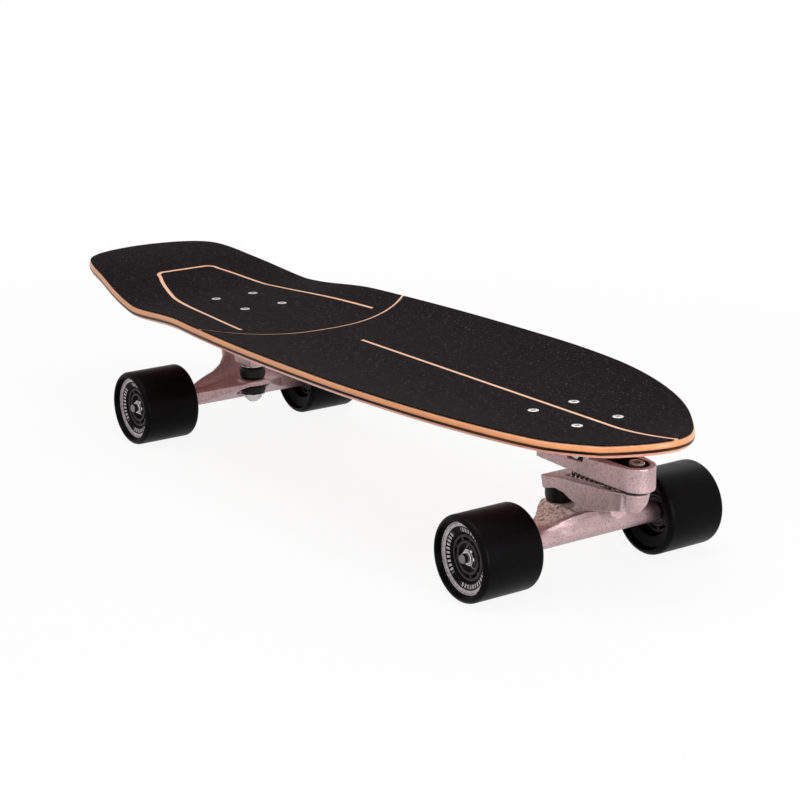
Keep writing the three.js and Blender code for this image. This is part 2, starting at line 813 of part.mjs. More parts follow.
function makeWheel(group, name) {
  const race = axleRadius + gap;
  const depth = coreReach + bearingFace;
  const core = new THREE.ExtrudeGeometry(coreShape(), { depth, bevelEnabled: false });
  const bearings = turned([
    [race, -bearingFace],
    [bearingRadius, -bearingFace],
    [bearingRadius, -bearingFace + bearingWidth],
    [spacerRadius, -bearingFace + bearingWidth],
    [spacerRadius, bearingFace - bearingWidth],
    [bearingRadius, bearingFace - bearingWidth],
    [bearingRadius, bearingFace],
    [race, bearingFace],
    [race, -bearingFace],
  ]);
  place(group, `tyre_${name}`, turned(tyreProfile(), tyreSides), urethane);
  place(group, `core_${name}`, core.translate(0, 0, -bearingFace), nylon);
  place(group, `bearings_${name}`, bearings, steel);
  const nutBottom = bearingFace + gap;
  const nutTop = nutBottom + axleNutHeight;
  const bore = bar(race, nutBottom - overrun, nutTop + overrun);
  const nut = cut(solid(hexBar(axleNutFlats, nutBottom, nutTop)), solid(bore));
  place(group, `axle_nut_${name}`, geometryOf(nut), steel);
}

function makeAxleAndWheels(group, name) {
  const end = wheelMiddle + bearingFace + gap + axleNutHeight + axleTail;
  place(group, `${name}_axle`, bar(axleRadius, -end, end).rotateX(Math.PI / 2), steel);
  for (const [hand, sign] of [['left', 1], ['right', -1]]) {
    const wheel = new THREE.Group();
    const toward = group.userData.outboard * sign;
    wheel.position.set(0, toward * wheelMiddle, 0);
    wheel.rotation.x = (-toward * Math.PI) / 2;
    group.add(wheel);
    makeWheel(wheel, `${name}_${hand}`);
  }
}

function truckGroup(truck) {
  const group = new THREE.Group();
  group.position.set(truck.axleAt, 0, axleHeight);
  group.rotation.z = truck.outboard > 0 ? 0 : Math.PI;
  group.userData.outboard = truck.outboard;
  board.add(group);
  return group;
}

// Brings a shape from a truck's own frame into the board's
function fromTruck(truck, geometry) {
  const turn = truck.outboard > 0 ? 0 : Math.PI;
  return geometry.rotateZ(turn).translate(truck.axleAt, 0, axleHeight);
}

// A solid on a truck's kingpin axis
function onKingpin(truck, geometry) {
  return solid(fromTruck(truck, geometry.translate(-kingpinInboard, 0, 0)));
}

// A solid on a truck's steering axis
function onSteering(truck, geometry) {
  return solid(fromTruck(truck, alongSteering(truck, geometry)));
}

function flange(middle) {
  const half = boltSpacingX / 2 + flangeEnd;
  const x = [middle - half, middle + half];
  return solid(roundedPlate(x, [-flangeHalfWidth, flangeHalfWidth], flangeCorner, flangeUnder, baseTop));
}

function flangeHoles(middle) {
  return boltPlaces(middle).flatMap(([x, y]) => [
    solid(bar(boltRadius + gap, flangeUnder - overrun, baseTop + overrun, smallSides).translate(x, y, 0)),
    solid(bar(nutPocketRadius, flangeUnder - nutPocketHeight, flangeUnder).translate(x, y, 0)),
    solid(block([x - nutPocketRadius, x + nutPocketRadius],
      y > 0 ? [y, flangeHalfWidth + overrun] : [-flangeHalfWidth - overrun, y],
      [flangeUnder - nutPocketHeight, flangeUnder])),
  ]);
}

// A shape that stands on Z laid along the leaning swing axis, its zero on the pivot plane
function onSwingAxis(geometry) {
  return geometry.rotateY(pivotLean).translate(pivotX, 0, pivotPlane);
}

function planeHeight(x) {
  return pivotPlane - (x - pivotX) * Math.tan(pivotLean);
}

function bossMiddle() {
  return pivotX + (bossTop - pivotPlane) * Math.tan(pivotLean);
}

// The wedge in plan: it narrows to a waist and runs on, tangent to the round boss
function wedgePlan() {
  const bossX = bossMiddle();
  const distance = Math.hypot(wedgeWaist - bossX, wedgeWaistHalf);
  const tangent = Math.atan2(wedgeWaistHalf, wedgeWaist - bossX) - Math.acos(bossRadius / distance);
  const nearHalf = [
    [wedgeStart, flangeHalfWidth],
    [wedgeWaist, wedgeWaistHalf],
    ...arc(bossX, 0, bossRadius, tangent, 0, bossSteps),
  ];
  const farHalf = nearHalf.toReversed().slice(1).map(([x, y]) => [x, -y]);
  return plan([...nearHalf, ...farHalf], lugBottom, baseTop);
}

// The wedge from the side: its underside is the swing plane, its boss stands below the flange
function wedgeSide() {
  const back = wedgeStart - overrun;
  const step = frontBoltsAt + boltSpacingX / 2 + flangeEnd;
  const front = bossMiddle() + bossRadius + overrun;
  const outline = [
    [back, planeHeight(back)],
    [front, planeHeight(front)],
    [front, bossTop],
    [step, bossTop],
    [step, flangeUnder + overrun],
    [back, flangeUnder + overrun],
  ];
  return side(outline, flangeHalfWidth + overrun);
}

// The long recess in the boss's top, round at the bolt and cut square behind
function bossRecess() {
  const bossX = bossMiddle();
  const recessBack = bossX - bossRecessBack;
  const [floor, roof] = [bossRecessFloor, bossTop + overrun];
  const pot = solid(bar(bossRecessRadius, floor, roof));
  const back = recessBack - bossRecessRadius * recessEndShare;
  const height = [floor - overrun, roof + overrun];
  const keep = solid(block([back, bossX + bossRadius], [-bossRadius, bossRadius], height));
  const channel = solid(block([recessBack, bossX], [-bossRecessRadius, bossRecessRadius], [floor, roof]));
  const pots = [pot.translate(bossX, 0, 0), pot.translate(recessBack, 0, 0)];
  return join(...pots, channel).intersect(keep);
}

function makeFrontBase() {
  const wedge = solid(wedgePlan()).intersect(solid(wedgeSide()));
  const boltHole = solid(onSwingAxis(bar(pivotBoltRadius + gap, -bossRadius, 2 * bossRadius)));
  const lugX = pivotX - lugReach;
  const lug = solid(block(
    [lugX - lugThickness / 2, lugX + lugThickness / 2],
    [-lugHalfWidth, lugHalfWidth],
    [lugBottom, planeHeight(lugX) + overrun],
  ));
  const body = cut(join(flange(frontBoltsAt), wedge), bossRecess(), boltHole, ...flangeHoles(frontBoltsAt));
  place(board, 'front_base', geometryOf(join(body, lug)), cast);
}

function pivotHeadSeat() {
  return (bossRecessFloor - pivotPlane) / Math.cos(pivotLean) + bossRecessRadius * Math.tan(pivotLean) + gap;
}

// The swing axis meets the arm's boss here, below the plane
function pivotBoltEnd() {
  return -thrustGap - armBossLength + armBossSkirt;
}

function makeSwingPivot() {
  const seat = pivotHeadSeat();
  const headTop = seat + pivotHeadHeight;
  const socket = solid(hexBar(pivotSocketFlats, headTop - pivotSocketDepth, headTop + overrun));
  const shank = turned([
    [0, pivotBoltEnd()],
    [pivotBoltRadius, pivotBoltEnd()],
    [pivotBoltRadius, seat],
    [pivotHeadRadius, seat],
    [pivotHeadRadius, headTop],
    [0, headTop],
  ]);
  place(board, 'pivot_bolt', onSwingAxis(geometryOf(cut(solid(shank), socket))), steel);
  const race = turned([
    [pivotBoltRadius + gap, -thrustGap + gap],
    [thrustRadius, -thrustGap + gap],
    [thrustRadius, -gap],
    [pivotBoltRadius + gap, -gap],
    [pivotBoltRadius + gap, -thrustGap + gap],
  ]);
  place(board, 'thrust_bearing', onSwingAxis(race), steel);
}

// The arm's long body: its side outline, narrowed in plan to run tangent to the boss
function armBody(truck) {
  const narrowing = truck.axleAt + armNarrowing;
  const distance = Math.hypot(pivotX - narrowing, armHalfWidth);
  const tangent = Math.atan2(armHalfWidth, narrowing - pivotX) - Math.acos(armBossRadius / distance);
  const nearHalf = [
    [truck.axleAt + armBack - overrun, armHalfWidth],
    [narrowing, armHalfWidth],
    ...arc(pivotX, 0, armBossRadius, tangent, 0, bossSteps),
  ];
  const farHalf = nearHalf.toReversed().slice(1).map(([x, y]) => [x, -y]);
  const fromAbove = plan([...nearHalf, ...farHalf], 0, bossTop);
  return solid(fromTruck(truck, side(armOutline, armHalfWidth))).intersect(solid(fromAbove));
}

function armBoss() {
  return solid(onSwingAxis(turned([
    [0, -thrustGap - armBossLength],
    [armBossFoot, -thrustGap - armBossLength],
    [armBossRadius - armBossDraft, pivotBoltEnd()],
    [armBossRadius, -thrustGap],
    [0, -thrustGap],
  ])));
}

// The slot on top of the arm for the spring, wider where the lug sweeps across
function armSlot() {
  const lugX = pivotX - lugReach;
  const height = [springSlotFloor, bossTop];
  return join(
    solid(block([springSlotStart, lugX], [-springSlotHalf, springSlotHalf], height)),
    solid(block([lugX - lugSweepBack, lugX + lugSweepBack], [-lugSweepHalf, lugSweepHalf], height)),
  );
}

function makeSwingArm(truck) {
  const aboveBoss = solid(onSwingAxis(bar(armBossRadius + overrun, -thrustGap, thrustGap)));
  const body = join(cut(armBody(truck), aboveBoss), armBoss(), onSteering(truck, cupHousing()));
  const boltHole = solid(onSwingAxis(bar(pivotBoltRadius + gap, pivotBoltEnd() - gap, overrun)));
  const neckRoom = bar(pivotNoseRadius + neckClearance, -2 * pivotNeckLength, -cupMouth);
  const seat = bar(bushingRadius + gap, 0, truck.kingpinSeat);
  const pinHole = bar(kingpinRadius + gap, 0, truck.kingpinSeat + studDepth + gap);
  const arm = cut(
    body,
    boltHole,
    onSteering(truck, neckRoom),
    onSteering(truck, cupBore()),
    onKingpin(truck, seat),
    onKingpin(truck, pinHole),
    armSlot(),
  );
  place(board, 'swing_arm', geometryOf(arm), cast);
}

// One tube that runs straight at both ends and winds between them
function springPath() {
  const start = springSlotStart + gap;
  const end = pivotX - lugReach - lugThickness / 2 - plungerHead - 2 * gap;
  const straight = springWire;
  const winding = end - start - springWire;
  const points = [];
  const steps = springCurls * curlSteps;
  for (let i = 0; i <= steps; i += 1) {
    const angle = (2 * Math.PI * i) / curlSteps;
    points.push(new THREE.Vector3(
      start + springWire / 2 + (winding * i) / steps,
      springRadius * Math.cos(angle),
      springHeight + springRadius * Math.sin(angle),
    ));
  }
  const first = points[0];
  const last = points[points.length - 1];
  const before = new THREE.Vector3(first.x, first.y, first.z - straight);
  const after = new THREE.Vector3(last.x, last.y, last.z + straight);
  return [before, ...points, after];
}

function tubeAlong(path, radius, sides) {
  const axis = new THREE.Vector3(1, 0, 0);
  const rings = path.map((point, i) => {
    const ahead = path[Math.min(i + 1, path.length - 1)];
    const behind = path[Math.max(i - 1, 0)];
    const along = ahead.clone().sub(behind).normalize();
    const across = axis.clone().cross(along).normalize();
    const up = along.clone().cross(across);
    return Array.from({ length: sides }, (_, j) => {
      const angle = (2 * Math.PI * j) / sides;
      const out = across.clone().multiplyScalar(Math.cos(angle)).addScaledVector(up, Math.sin(angle));
      return point.clone().addScaledVector(out, radius);
    });
  });
  return loft(rings);
}

function leastSelfGap(path, radius) {
  let least = Infinity;
  for (let i = 0; i < path.length; i += 1) {
    for (let j = i + curlSteps / 2; j < path.length; j += 1) {
      least = Math.min(least, path[i].distanceTo(path[j]) - 2 * radius);
    }
  }
  return least;
}

function makeSpring() {
  const path = springPath();
  console.log(`return spring: least gap to itself ${leastSelfGap(path, springWire / 2).toFixed(2)} mm`);
  place(board, 'return_spring', tubeAlong(path, springWire / 2, wireSides), steel);
  const front = pivotX - lugReach - lugThickness / 2 - gap;
  const plunger = turned([
    [0, 0],
    [plungerRadius, 0],
    [plungerRadius, plungerHead],
    [plungerStemRadius, plungerHead],
    [plungerStemRadius, plungerHead + plungerStem],
    [0, plungerHead + plungerStem],
  ]).rotateY(-Math.PI / 2).translate(front, 0, springHeight);
  place(board, 'spring_plunger', plunger, steel);
}

// The rear base's column over the kingpin, with a web that runs out to the cup's housing
function rearColumn(truck) {
  const roof = flangeUnder + overrun - axleHeight;
  const columnFront = -kingpinInboard + columnBack;
  const end = truck.pivotOutboard + housingLength;
  const outline = [
    [-kingpinInboard - columnBack, roof],
    [-kingpinInboard - columnBack, truck.kingpinSeat],
    [columnFront, truck.kingpinSeat],
    [columnFront + overrun, truck.pivotHeight + webLift * webStartShare],
    ...webShares.map(([out, lift]) => [truck.pivotOutboard * out, truck.pivotHeight + webLift * lift]),
    [end, truck.pivotHeight + webLift],
    [end, roof],
  ];
  return solid(fromTruck(truck, side(outline, columnHalfWidth)));
}

function makeRearBase(truck) {
  const top = baseTop + overrun - axleHeight;
  const headFloor = truck.kingpinSeat + columnBack;
  const base = cut(
    join(flange(rearBoltsAt), rearColumn(truck), onSteering(truck, cupHousing())),
    onKingpin(truck, bar(kingpinRadius + gap, 0, top)),
    onKingpin(truck, bar(kingpinHeadRadius + gap, headFloor, top)),
    onSteering(truck, cupBore()),
    ...flangeHoles(rearBoltsAt),
  );
  place(board, 'rear_base', geometryOf(base), cast);
  return headFloor + gap;
}

// The front kingpin has no head: it is a stud in a blind hole in the arm
function kingpinStud(bottom, top) {
  return bar(kingpinRadius, bottom, top).translate(-kingpinInboard, 0, 0);
}

function makeFrontTruck() {
  const group = truckGroup(frontTruck);
  makeFrontBase();
  makeSwingPivot();
  makeSwingArm(frontTruck);
  makeSpring();
  makeHanger(group, frontTruck, 'front');
  makePivotCup(group, frontTruck, 'front');
  const tail = makeSteering(group, frontTruck, 'front', false);
  place(group, 'front_kingpin', kingpinStud(tail, frontTruck.kingpinSeat + studDepth), steel);
  makeAxleAndWheels(group, 'front');
}

function makeRearTruck() {
  const group = truckGroup(rearTruck);
  const headBottom = makeRearBase(rearTruck);
  makeHanger(group, rearTruck, 'rear');
  makePivotCup(group, rearTruck, 'rear');
  const tail = makeSteering(group, rearTruck, 'rear', true);
  place(group, 'rear_kingpin', kingpin(tail, headBottom), steel);
  makeAxleAndWheels(group, 'rear');
}

makeDeck();
makeGrip();
makeDeckBolts();
makeFrontTruck();
makeRearTruck();

export default board;
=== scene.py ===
"""A surf skateboard: its visible pieces, their finishes, the studio and the camera."""

import math

import bmesh
import bpy
import numpy as np
from mathutils import Matrix, Vector


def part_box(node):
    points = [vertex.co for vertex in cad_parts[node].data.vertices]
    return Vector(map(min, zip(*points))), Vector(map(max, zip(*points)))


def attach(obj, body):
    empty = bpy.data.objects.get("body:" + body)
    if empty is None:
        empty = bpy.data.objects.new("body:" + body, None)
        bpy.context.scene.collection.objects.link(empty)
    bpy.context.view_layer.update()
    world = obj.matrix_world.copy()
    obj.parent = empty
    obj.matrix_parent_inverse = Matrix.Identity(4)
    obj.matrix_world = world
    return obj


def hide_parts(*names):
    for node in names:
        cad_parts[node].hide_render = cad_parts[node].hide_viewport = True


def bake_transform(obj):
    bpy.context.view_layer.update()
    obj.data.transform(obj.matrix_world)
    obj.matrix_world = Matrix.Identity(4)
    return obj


bl_info = {
    "name": "Surf Skateboard",
    "version": (1, 0, 0),
    "blender": (4, 5, 0),
    "location": "View3D > Sidebar > Surf Skateboard",
    "description": "Builds a surf skateboard's pieces and finishes over its fixed frame",
    "category": "Object",
}

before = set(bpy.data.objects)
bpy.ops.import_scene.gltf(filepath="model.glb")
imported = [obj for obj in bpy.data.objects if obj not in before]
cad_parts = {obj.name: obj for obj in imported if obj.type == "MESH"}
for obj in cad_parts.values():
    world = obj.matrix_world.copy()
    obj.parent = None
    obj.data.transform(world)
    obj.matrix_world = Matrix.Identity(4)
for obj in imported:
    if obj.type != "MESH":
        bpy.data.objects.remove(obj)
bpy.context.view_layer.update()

# General. A pair of sizes is a radius or a step inward, and then a height or depth.
GAP = 0.0003
TOUCHING = 1e-7

# Deck, as in the frame
DECK_LENGTH = 0.830
DECK_WIDTH = 0.2374
DECK_THICKNESS = 0.0097
DECK_UNDERSIDE = 0.1175
RAIL_TOP_ROUND = 0.0032
RAIL_BOTTOM_ROUND = 0.0042
KICK_START = -0.247
KICK_RISE = 0.0194
KICK_CURVE = 1.3
NOSE_START = 0.343
NOSE_RISE = 0.0072
NOSE_CURVE = 1.6
TAIL_CONCAVE = 0.0077
NOSE_CONCAVE = 0.0097
CONCAVE_TAIL_FULL = -0.137
CONCAVE_NOSE_FULL = 0.163
CONCAVE_FADE_START = 0.183
CONCAVE_FADE_END = 0.383
CONCAVE_FADE_CURVE = 2.3
TIP_SHARE = 0.06
FLAT_SHARE = 0.2
OUTLINE_SHARES = [
    (1, 0), (0.99, 0.13), (0.957, 0.285), (0.902, 0.455), (0.829, 0.633), (0.732, 0.78), (0.586, 0.911),
    (0.391, 0.985), (0.199, 1), (-0.044, 0.987), (-0.286, 0.934), (-0.481, 0.866), (-0.601, 0.84),
    (-0.723, 0.782), (-0.815, 0.717), (-0.89, 0.666), (-0.935, 0.605), (-0.964, 0.5), (-0.984, 0.35),
    (-0.996, 0.17), (-1, 0),
]
DECK_STATIONS = 220
DECK_ACROSS = 31
RAIL_STEPS = 6
OUTLINE_STEP_SHARE = 1e-4
LEAST_HALF_WIDTH = 1e-5
LEAST_SPAN = 1e-4
LEAST_CHORD = 1e-9

# Grip tape
GRIP_THICKNESS = 0.0008
GRIP_INSET = 0.0012
GRIP_ACROSS = DECK_ACROSS + 10
STRINGER_START = -0.002
ARC_FRONT = -0.055
ARC_RADIUS = 0.170
ARC_STEPS = 90
TONGUE_END = -0.321
TONGUE_HALF_WIDTH = 0.074
TONGUE_END_HALF = 0.024
TONGUE_CORNER = 0.009
TONGUE_SIDE_SHARES = [(0, 1), (0.3, 0.926), (0.65, 0.757), (0.86, 0.58), (0.955, 0.46)]
TONGUE_SIDE_STEPS = 6
TONGUE_CORNER_STEPS = 8
GRIP_BOTTOM = DECK_UNDERSIDE + DECK_THICKNESS + GAP
GRIP_TOP = GRIP_BOTTOM + GRIP_THICKNESS
LINE_DEPTH = 0.0003
LINE_CLEARANCE = 0.00005
LINE_STOP = 0.0155
LINE_SINK = 1.3 * GAP
HOLE_STEPS = 32

# Deck bolts and nuts. The bolts' spacing is along, and then across.
BOLT_SPACING = (0.054, 0.0413)
FRONT_BOLTS_AT = 0.297
REAR_BOLTS_AT = -0.196
BOLT_RADIUS = 0.0024
BOLT_HEAD_RADIUS = 0.0046
BOLT_HEAD_HEIGHT = 0.0028
BOLT_END = 0.1017
BOLT_TIP = 0.0006
BOLT_TIP_SHARE = 0.8
BOLT_RIM = 0.0005
BOLT_EDGE = 0.0001
BOLT_EDGE_SHARE = 0.96
BOLT_FLAT_SHARE = 0.7
CROSS_REACH = 0.0027
CROSS_HALF = 0.0006
CROSS_DEPTH = 0.0018
CROSS_TURN = 0.4
NUT_FLATS = 0.0095
NUT_TOP = 0.1089
NUT_HEIGHT = 0.0056
NUT_CROWN = 0.0016
NUT_SEGMENTS = 96
NUT_CHAMFER_SHARE = 0.09
NUT_CONE_SLOPE = 1.7
CROWN_FOOT_SHARE = 0.44
CROWN_TOP_SHARE = 0.4
CROWN_ROUND_SHARE = 0.3

# Trucks
AXLE_HEIGHT = 0.035
FRONT_AXLE_AT = 0.3062
REAR_AXLE_AT = -0.2202
AXLE_RADIUS = 0.004
AXLE_CHAMFER = 0.0008
AXLE_TAIL = 0.0046
AXLE_SHADE = 0.32
AXLE_NUT_FLATS = 0.013
AXLE_NUT_HEIGHT = 0.0065
AXLE_NUT_CROWN = 0.0018
RING_TOP = 0.0172
RING_BOTTOM = 0.0115
FRONT_SEAT = 0.0352
REAR_SEAT = 0.0314
KINGPIN_INBOARD = 0.027
KINGPIN_RADIUS = 0.00475
KINGPIN_CHAMFER = 0.0008
KINGPIN_TIP = 0.0004
KINGPIN_HEAD = (0.0074, 0.0032)
KINGPIN_HEAD_EDGE = 0.0006
KINGPIN_SOCKET = (0.0032, 0.0016)
KINGPIN_NUT_FLATS = 0.0143
KINGPIN_NUT_HEIGHT = 0.0055
KINGPIN_NUT_CROWN = 0.0012
ROAD_BUSHING = 0.008
BUSHING_RADIUS = 0.0123
BUSHING_DRAFT = 0.0014
BUSHING_FLARE = 0.0014
BUSHING_ROUND = 0.0008
BUSHING_BULGE_SHARE = 0.45
WASHER_RADIUS = 0.0116
WASHER_THICKNESS = 0.0015
WASHER_EDGE = 0.0004
WASHER_RIM_ROUND = 0.0006
WASHER_CUP_RIM = 0.0022
WASHER_CUP_FOOT = 0.0032
WASHER_CUP_DEPTH = 0.0006
WASHER_ROUND = 0.0003

# Castings
CASTING_SMOOTHING = 6
HANGER_SMOOTHING = 22
SMOOTHING_SHARE = 0.5
# The front hanger's hump: a real burnish, lower in roughness, with painted reflections in its colour
BURNISH_AND_SHEEN_RADIUS = 0.036
BURNISH_AND_SHEEN_FADE = 0.048
BURNISH_AND_SHEEN_FRONT = 0.029
BURNISH_AND_SHEEN_FRONT_FADE = 0.033

# Wheels
WHEEL_RADIUS = 0.035
WHEEL_HALF = 0.02875
WHEEL_MIDDLE = 0.09265
LIP_FOOT = (0.0292, 0.0052)
MOUTH = (0.020, 0.0074)
TYRE_ROUND = 0.0012
TYRE_SEGMENTS = 128
CORE_RADIUS = 0.0186
CORE_REACH = 0.0204
HUB_RADIUS = 0.0138
HUB_ROUND = 0.0008
RIM_BORE = 0.0162
RIM_ROUND = 0.0006
WEB_BOTTOM = 0.008
WEB_TOP = 0.016
SPOKES = 9
SPOKE_FOOT_HALF = 0.0011
SPOKE_TIP_HALF = 0.0013
SPOKE_LAP = 0.0004
SPOKE_ROUND = 0.0003
SPOKE_BACK_INSET = 0.0006
SPOKE_FRONT_INSET = 0.0012
BEARING_FACE = 0.0146
BEARING_RADIUS = 0.011
BEARING_WIDTH = 0.007
OUTER_RACE_BORE = 0.0094
INNER_RACE_RADIUS = 0.0062
RACE_ROUND = 0.0004
SHIELD_INSET = 0.0006
SHIELD_LAP = 0.0001
SHIELD_ROUND = 0.0002
SPACER_RADIUS = 0.0054

# Print on the wheels
MARK_INNER = 0.0208
MARK_OUTER = 0.0241
GROOVE_INNER = 0.0011
GROOVE_OUTER = 0.0007
PRINT_BLUR = 0.00012
PRINT_TURN = 0.5 + 1 / 6
BARS = 42
BAR_GROUPS = 3

# Swing pivot and return spring
PIVOT_X = 0.3685
PIVOT_PLANE = 0.0867
PIVOT_LEAN = math.radians(5.5)
PIVOT_SHANK_END = -0.0127
PIVOT_SHANK_RADIUS = 0.004
PIVOT_SHANK_TIP = (0.0004, 0.0005)
PIVOT_HEAD_SEAT = 0.01297
PIVOT_HEAD_HEIGHT = 0.007
PIVOT_HEAD_RADIUS = 0.0062
PIVOT_HEAD_EDGE = (0.0005, 0.0006)
PIVOT_SOCKET_RADIUS = 0.00346
PIVOT_SOCKET_DEPTH = 0.0035
# Painted shade over the front boss's recess round the pivot bolt's head
RECESS_FLOOR = 0.0983
RECESS_RADIUS = 0.0107
RECESS_BACK = 0.029
RECESS_BLUR = 0.0006
RECESS_LIP = 0.0008
THRUST_RADIUS = 0.0122
THRUST_GAP = 0.0032
THRUST_BORE = 0.0043
THRUST_FLANGE = 0.0009
THRUST_SLOPE = 0.0001
THRUST_GROOVE = 0.0008
THRUST_ROUND = 0.0002
SPRING_WIRE = 0.001
SPRING_WIRE_SHARE = 0.98
SPRING_SIDES = 12
SPRING_RADIUS = 0.0034
SPRING_HEIGHT = 0.0766
SPRING_START = 0.2933
SPRING_END = 0.3449
SPRING_CURLS = 9
SPRING_CURL_STEPS = 20
PLUNGER_AT = 0.3482
PLUNGER_RADIUS = 0.0044
PLUNGER_EDGE = 0.0005
PLUNGER_HEAD = 0.003
PLUNGER_PIN_RADIUS = 0.002
PLUNGER_LENGTH = 0.013
PLUNGER_TIP = 0.0004

# Surface relief
FINE_RELIEF = 0.0001
GRAIN_RELIEF = 0.0003

# Studio
FLOOR_HALF = 8.0
FLOOR_NEAR = 0.5
FLOOR_FAR = 1.3
FLOOR_GLOW = 0.9
FLOOR_PAINT = 0.86
WORLD_LIGHT = 0.42
LIGHT_AIM = (0.05, 0, 0.1)
# Each softbox has a name, a place, a size and a power in watts.
SOFTBOXES = (
    ("overhead softbox", (0.3, -0.2, 2.0), (1.8, 1.2), 20),
    ("front softbox", (2.35, 0.0, 0.5), (1.0, 1.0), 28),
    ("side softbox", (0.6, -2.4, 1.1), (1.2, 1.0), 3.5),
    ("rear softbox", (-1.2, 1.6, 1.5), (1.4, 1.0), 8),
)
CAMERA_PLACE = (1.5492, -1.0413, 0.5948)
CAMERA_AZIMUTH = 55.094
CAMERA_ELEVATION = 15.642
CAMERA_ROLL = -0.584
CAMERA_SENSOR = 36.0
CAMERA_LENS = 96.94
CAMERA_NEAR = 0.01


def tint(red, green, blue):
    """A colour from 0 to 255 as the linear values that Blender mixes."""
    return tuple((part / 255) ** 2.2 for part in (red, green, blue))


def colour_property(name, description, default):
    return bpy.props.FloatVectorProperty(
        name=name, description=description, default=default, size=3, subtype="COLOR", min=0, max=1)


def length_property(name, description, default):
    return bpy.props.FloatProperty(
        name=name, description=description, default=default, subtype="DISTANCE", unit="LENGTH", min=0)


class BoardSizes(bpy.types.PropertyGroup):
    """Sizes of the finished pieces that a user may change."""

    line_width: length_property("Line width", "Width of the bare wood lines between the grip pieces", 0.004)
    arc_width: length_property("Arc width", "Width of the bare wood line across the deck", 0.0026)
    wheel_lip: length_property("Wheel lip", "Radius of the wheels' outer edges", 0.0046)
    ring_inner: length_property("Printed ring inside", "Inner radius of the ring printed on a wheel", 0.0252)
    ring_outer: length_property("Printed ring outside", "Outer radius of the ring printed on a wheel", 0.0287)
    cast_voxel: length_property("Casting detail", "Grid on which the castings' edges are rounded", 0.0007)
    grit_size: length_property("Grit size", "Size of one grain of the grip tape", 0.0006)


class BoardColours(bpy.types.PropertyGroup):
    """Colours of the finished pieces that a user may change."""

    honey: colour_property("Upper plies", "Colour of the deck edge's upper plies", tint(232, 152, 100))
    dark_ply: colour_property("Dark ply", "Colour of the thin ply in the deck's edge", tint(22, 8, 8))
    pink_ply: colour_property("Lower plies", "Colour of the deck edge's lower plies", tint(226, 154, 132))
    face_ply: colour_property("Face ply", "Colour of the bare wood lines on the top", tint(238, 174, 132))
    grip: colour_property("Grip tape", "Colour of the grip tape", tint(31, 24, 26))
    cast: colour_property("Castings", "Colour of the raw cast aluminium", tint(190, 162, 164))
    steel: colour_property("Steel", "Colour of the plated steel", tint(196, 193, 194))
    urethane: colour_property("Wheels", "Colour of the wheels' urethane", tint(13, 11, 13))
    print_silver: colour_property("Print", "Colour of the print on the wheels", tint(196, 184, 187))
    rubber: colour_property("Bushings", "Colour of the bushings", tint(15, 13, 14))


# Meshes

def mesh_object(name, verts, faces):
    mesh = bpy.data.meshes.new(name)
    mesh.from_pydata([tuple(v) for v in verts], [], faces)
    mesh.update()
    made = bpy.data.objects.new(name, mesh)
    bpy.context.scene.collection.objects.link(made)
    return made


def outward(obj, merge=True):
    """Points every face outward, after merging doubled points."""
    work = bmesh.new()
    work.from_mesh(obj.data)
    if merge:
        bmesh.ops.remove_doubles(work, verts=work.verts, dist=TOUCHING)
    bmesh.ops.recalc_face_normals(work, faces=work.faces)
    work.to_mesh(obj.data)
    work.free()
    return obj


def smooth(obj, angle=35):
    obj.data.shade_smooth()
    obj.data.set_sharp_from_angle(angle=math.radians(angle))
    return obj


def baked(obj):
    """Applies an object's modifiers to its mesh."""
    graph = bpy.context.evaluated_depsgraph_get()
    mesh = bpy.data.meshes.new_from_object(obj.evaluated_get(graph))
    old = obj.data
    obj.modifiers.clear()
    obj.data = mesh
    mesh.name = obj.name
    bpy.data.meshes.remove(old)
    return obj


def removed(obj):
    mesh = obj.data
    bpy.data.objects.remove(obj)
    bpy.data.meshes.remove(mesh)


def combined(obj, cutter, operation):
    """Cuts, keeps or joins one solid with another, and removes the second."""
    modifier = obj.modifiers.new("combine", "BOOLEAN")
    modifier.operation = operation
    modifier.solver = "EXACT"
    modifier.object = cutter
    baked(obj)
    removed(cutter)
    return obj


def joined(name, objects):
    """Joins meshes into one object, each keeping its own material."""
    verts, faces, slots, materials = [], [], [], []
    for obj in objects:
        start = len(verts)
        verts += [obj.matrix_world @ v.co for v in obj.data.vertices]
        own = next((material for material in obj.data.materials if material), None)
        if own not in materials:
            materials.append(own)
        for face in obj.data.polygons:
            faces.append([start + index for index in face.vertices])
            slots.append(materials.index(own))
    whole = mesh_object(name, verts, faces)
    for material in materials:
        whole.data.materials.append(material)
    whole.data.polygons.foreach_set("material_index", slots)
    for obj in objects:
        removed(obj)
    return whole


def loft(name, rings):
    count = len(rings[0])
    verts = [point for ring in rings for point in ring]
    faces = []
    for i in range(len(rings) - 1):
        for j in range(count):
            k = (j + 1) % count
            faces.append((i * count + j, i * count + k, (i + 1) * count + k, (i + 1) * count + j))
    last = (len(rings) - 1) * count
    faces.append(tuple(range(count)))
    faces.append(tuple(last + j for j in range(count)))
    return mesh_object(name, verts, faces)


def rounded(points, radius, steps=4, closed=True):
    """The same outline with its corners rounded, as far as its edges allow."""
    made = []
    count = len(points)
    for i, corner in enumerate(points):
        if not closed and i in (0, count - 1):
            made.append(tuple(corner))
            continue
        here = Vector(corner)
        before = Vector(points[i - 1]) - here
        after = Vector(points[(i + 1) % count]) - here
        reach = min(radius, before.length / 2, after.length / 2)
        start = here + before.normalized() * reach
        end = here + after.normalized() * reach
        for k in range(steps + 1):
            t = k / steps
            made.append(tuple(start * (1 - t) ** 2 + here * 2 * t * (1 - t) + end * t ** 2))
    return made


def ring_of(segments, radius_at, height):
    """Points round local Z at one height, with the radius that the angle gives."""
    angles = [2 * math.pi * i / segments for i in range(segments)]
    return [(radius_at(a) * math.cos(a), radius_at(a) * math.sin(a), height) for a in angles]


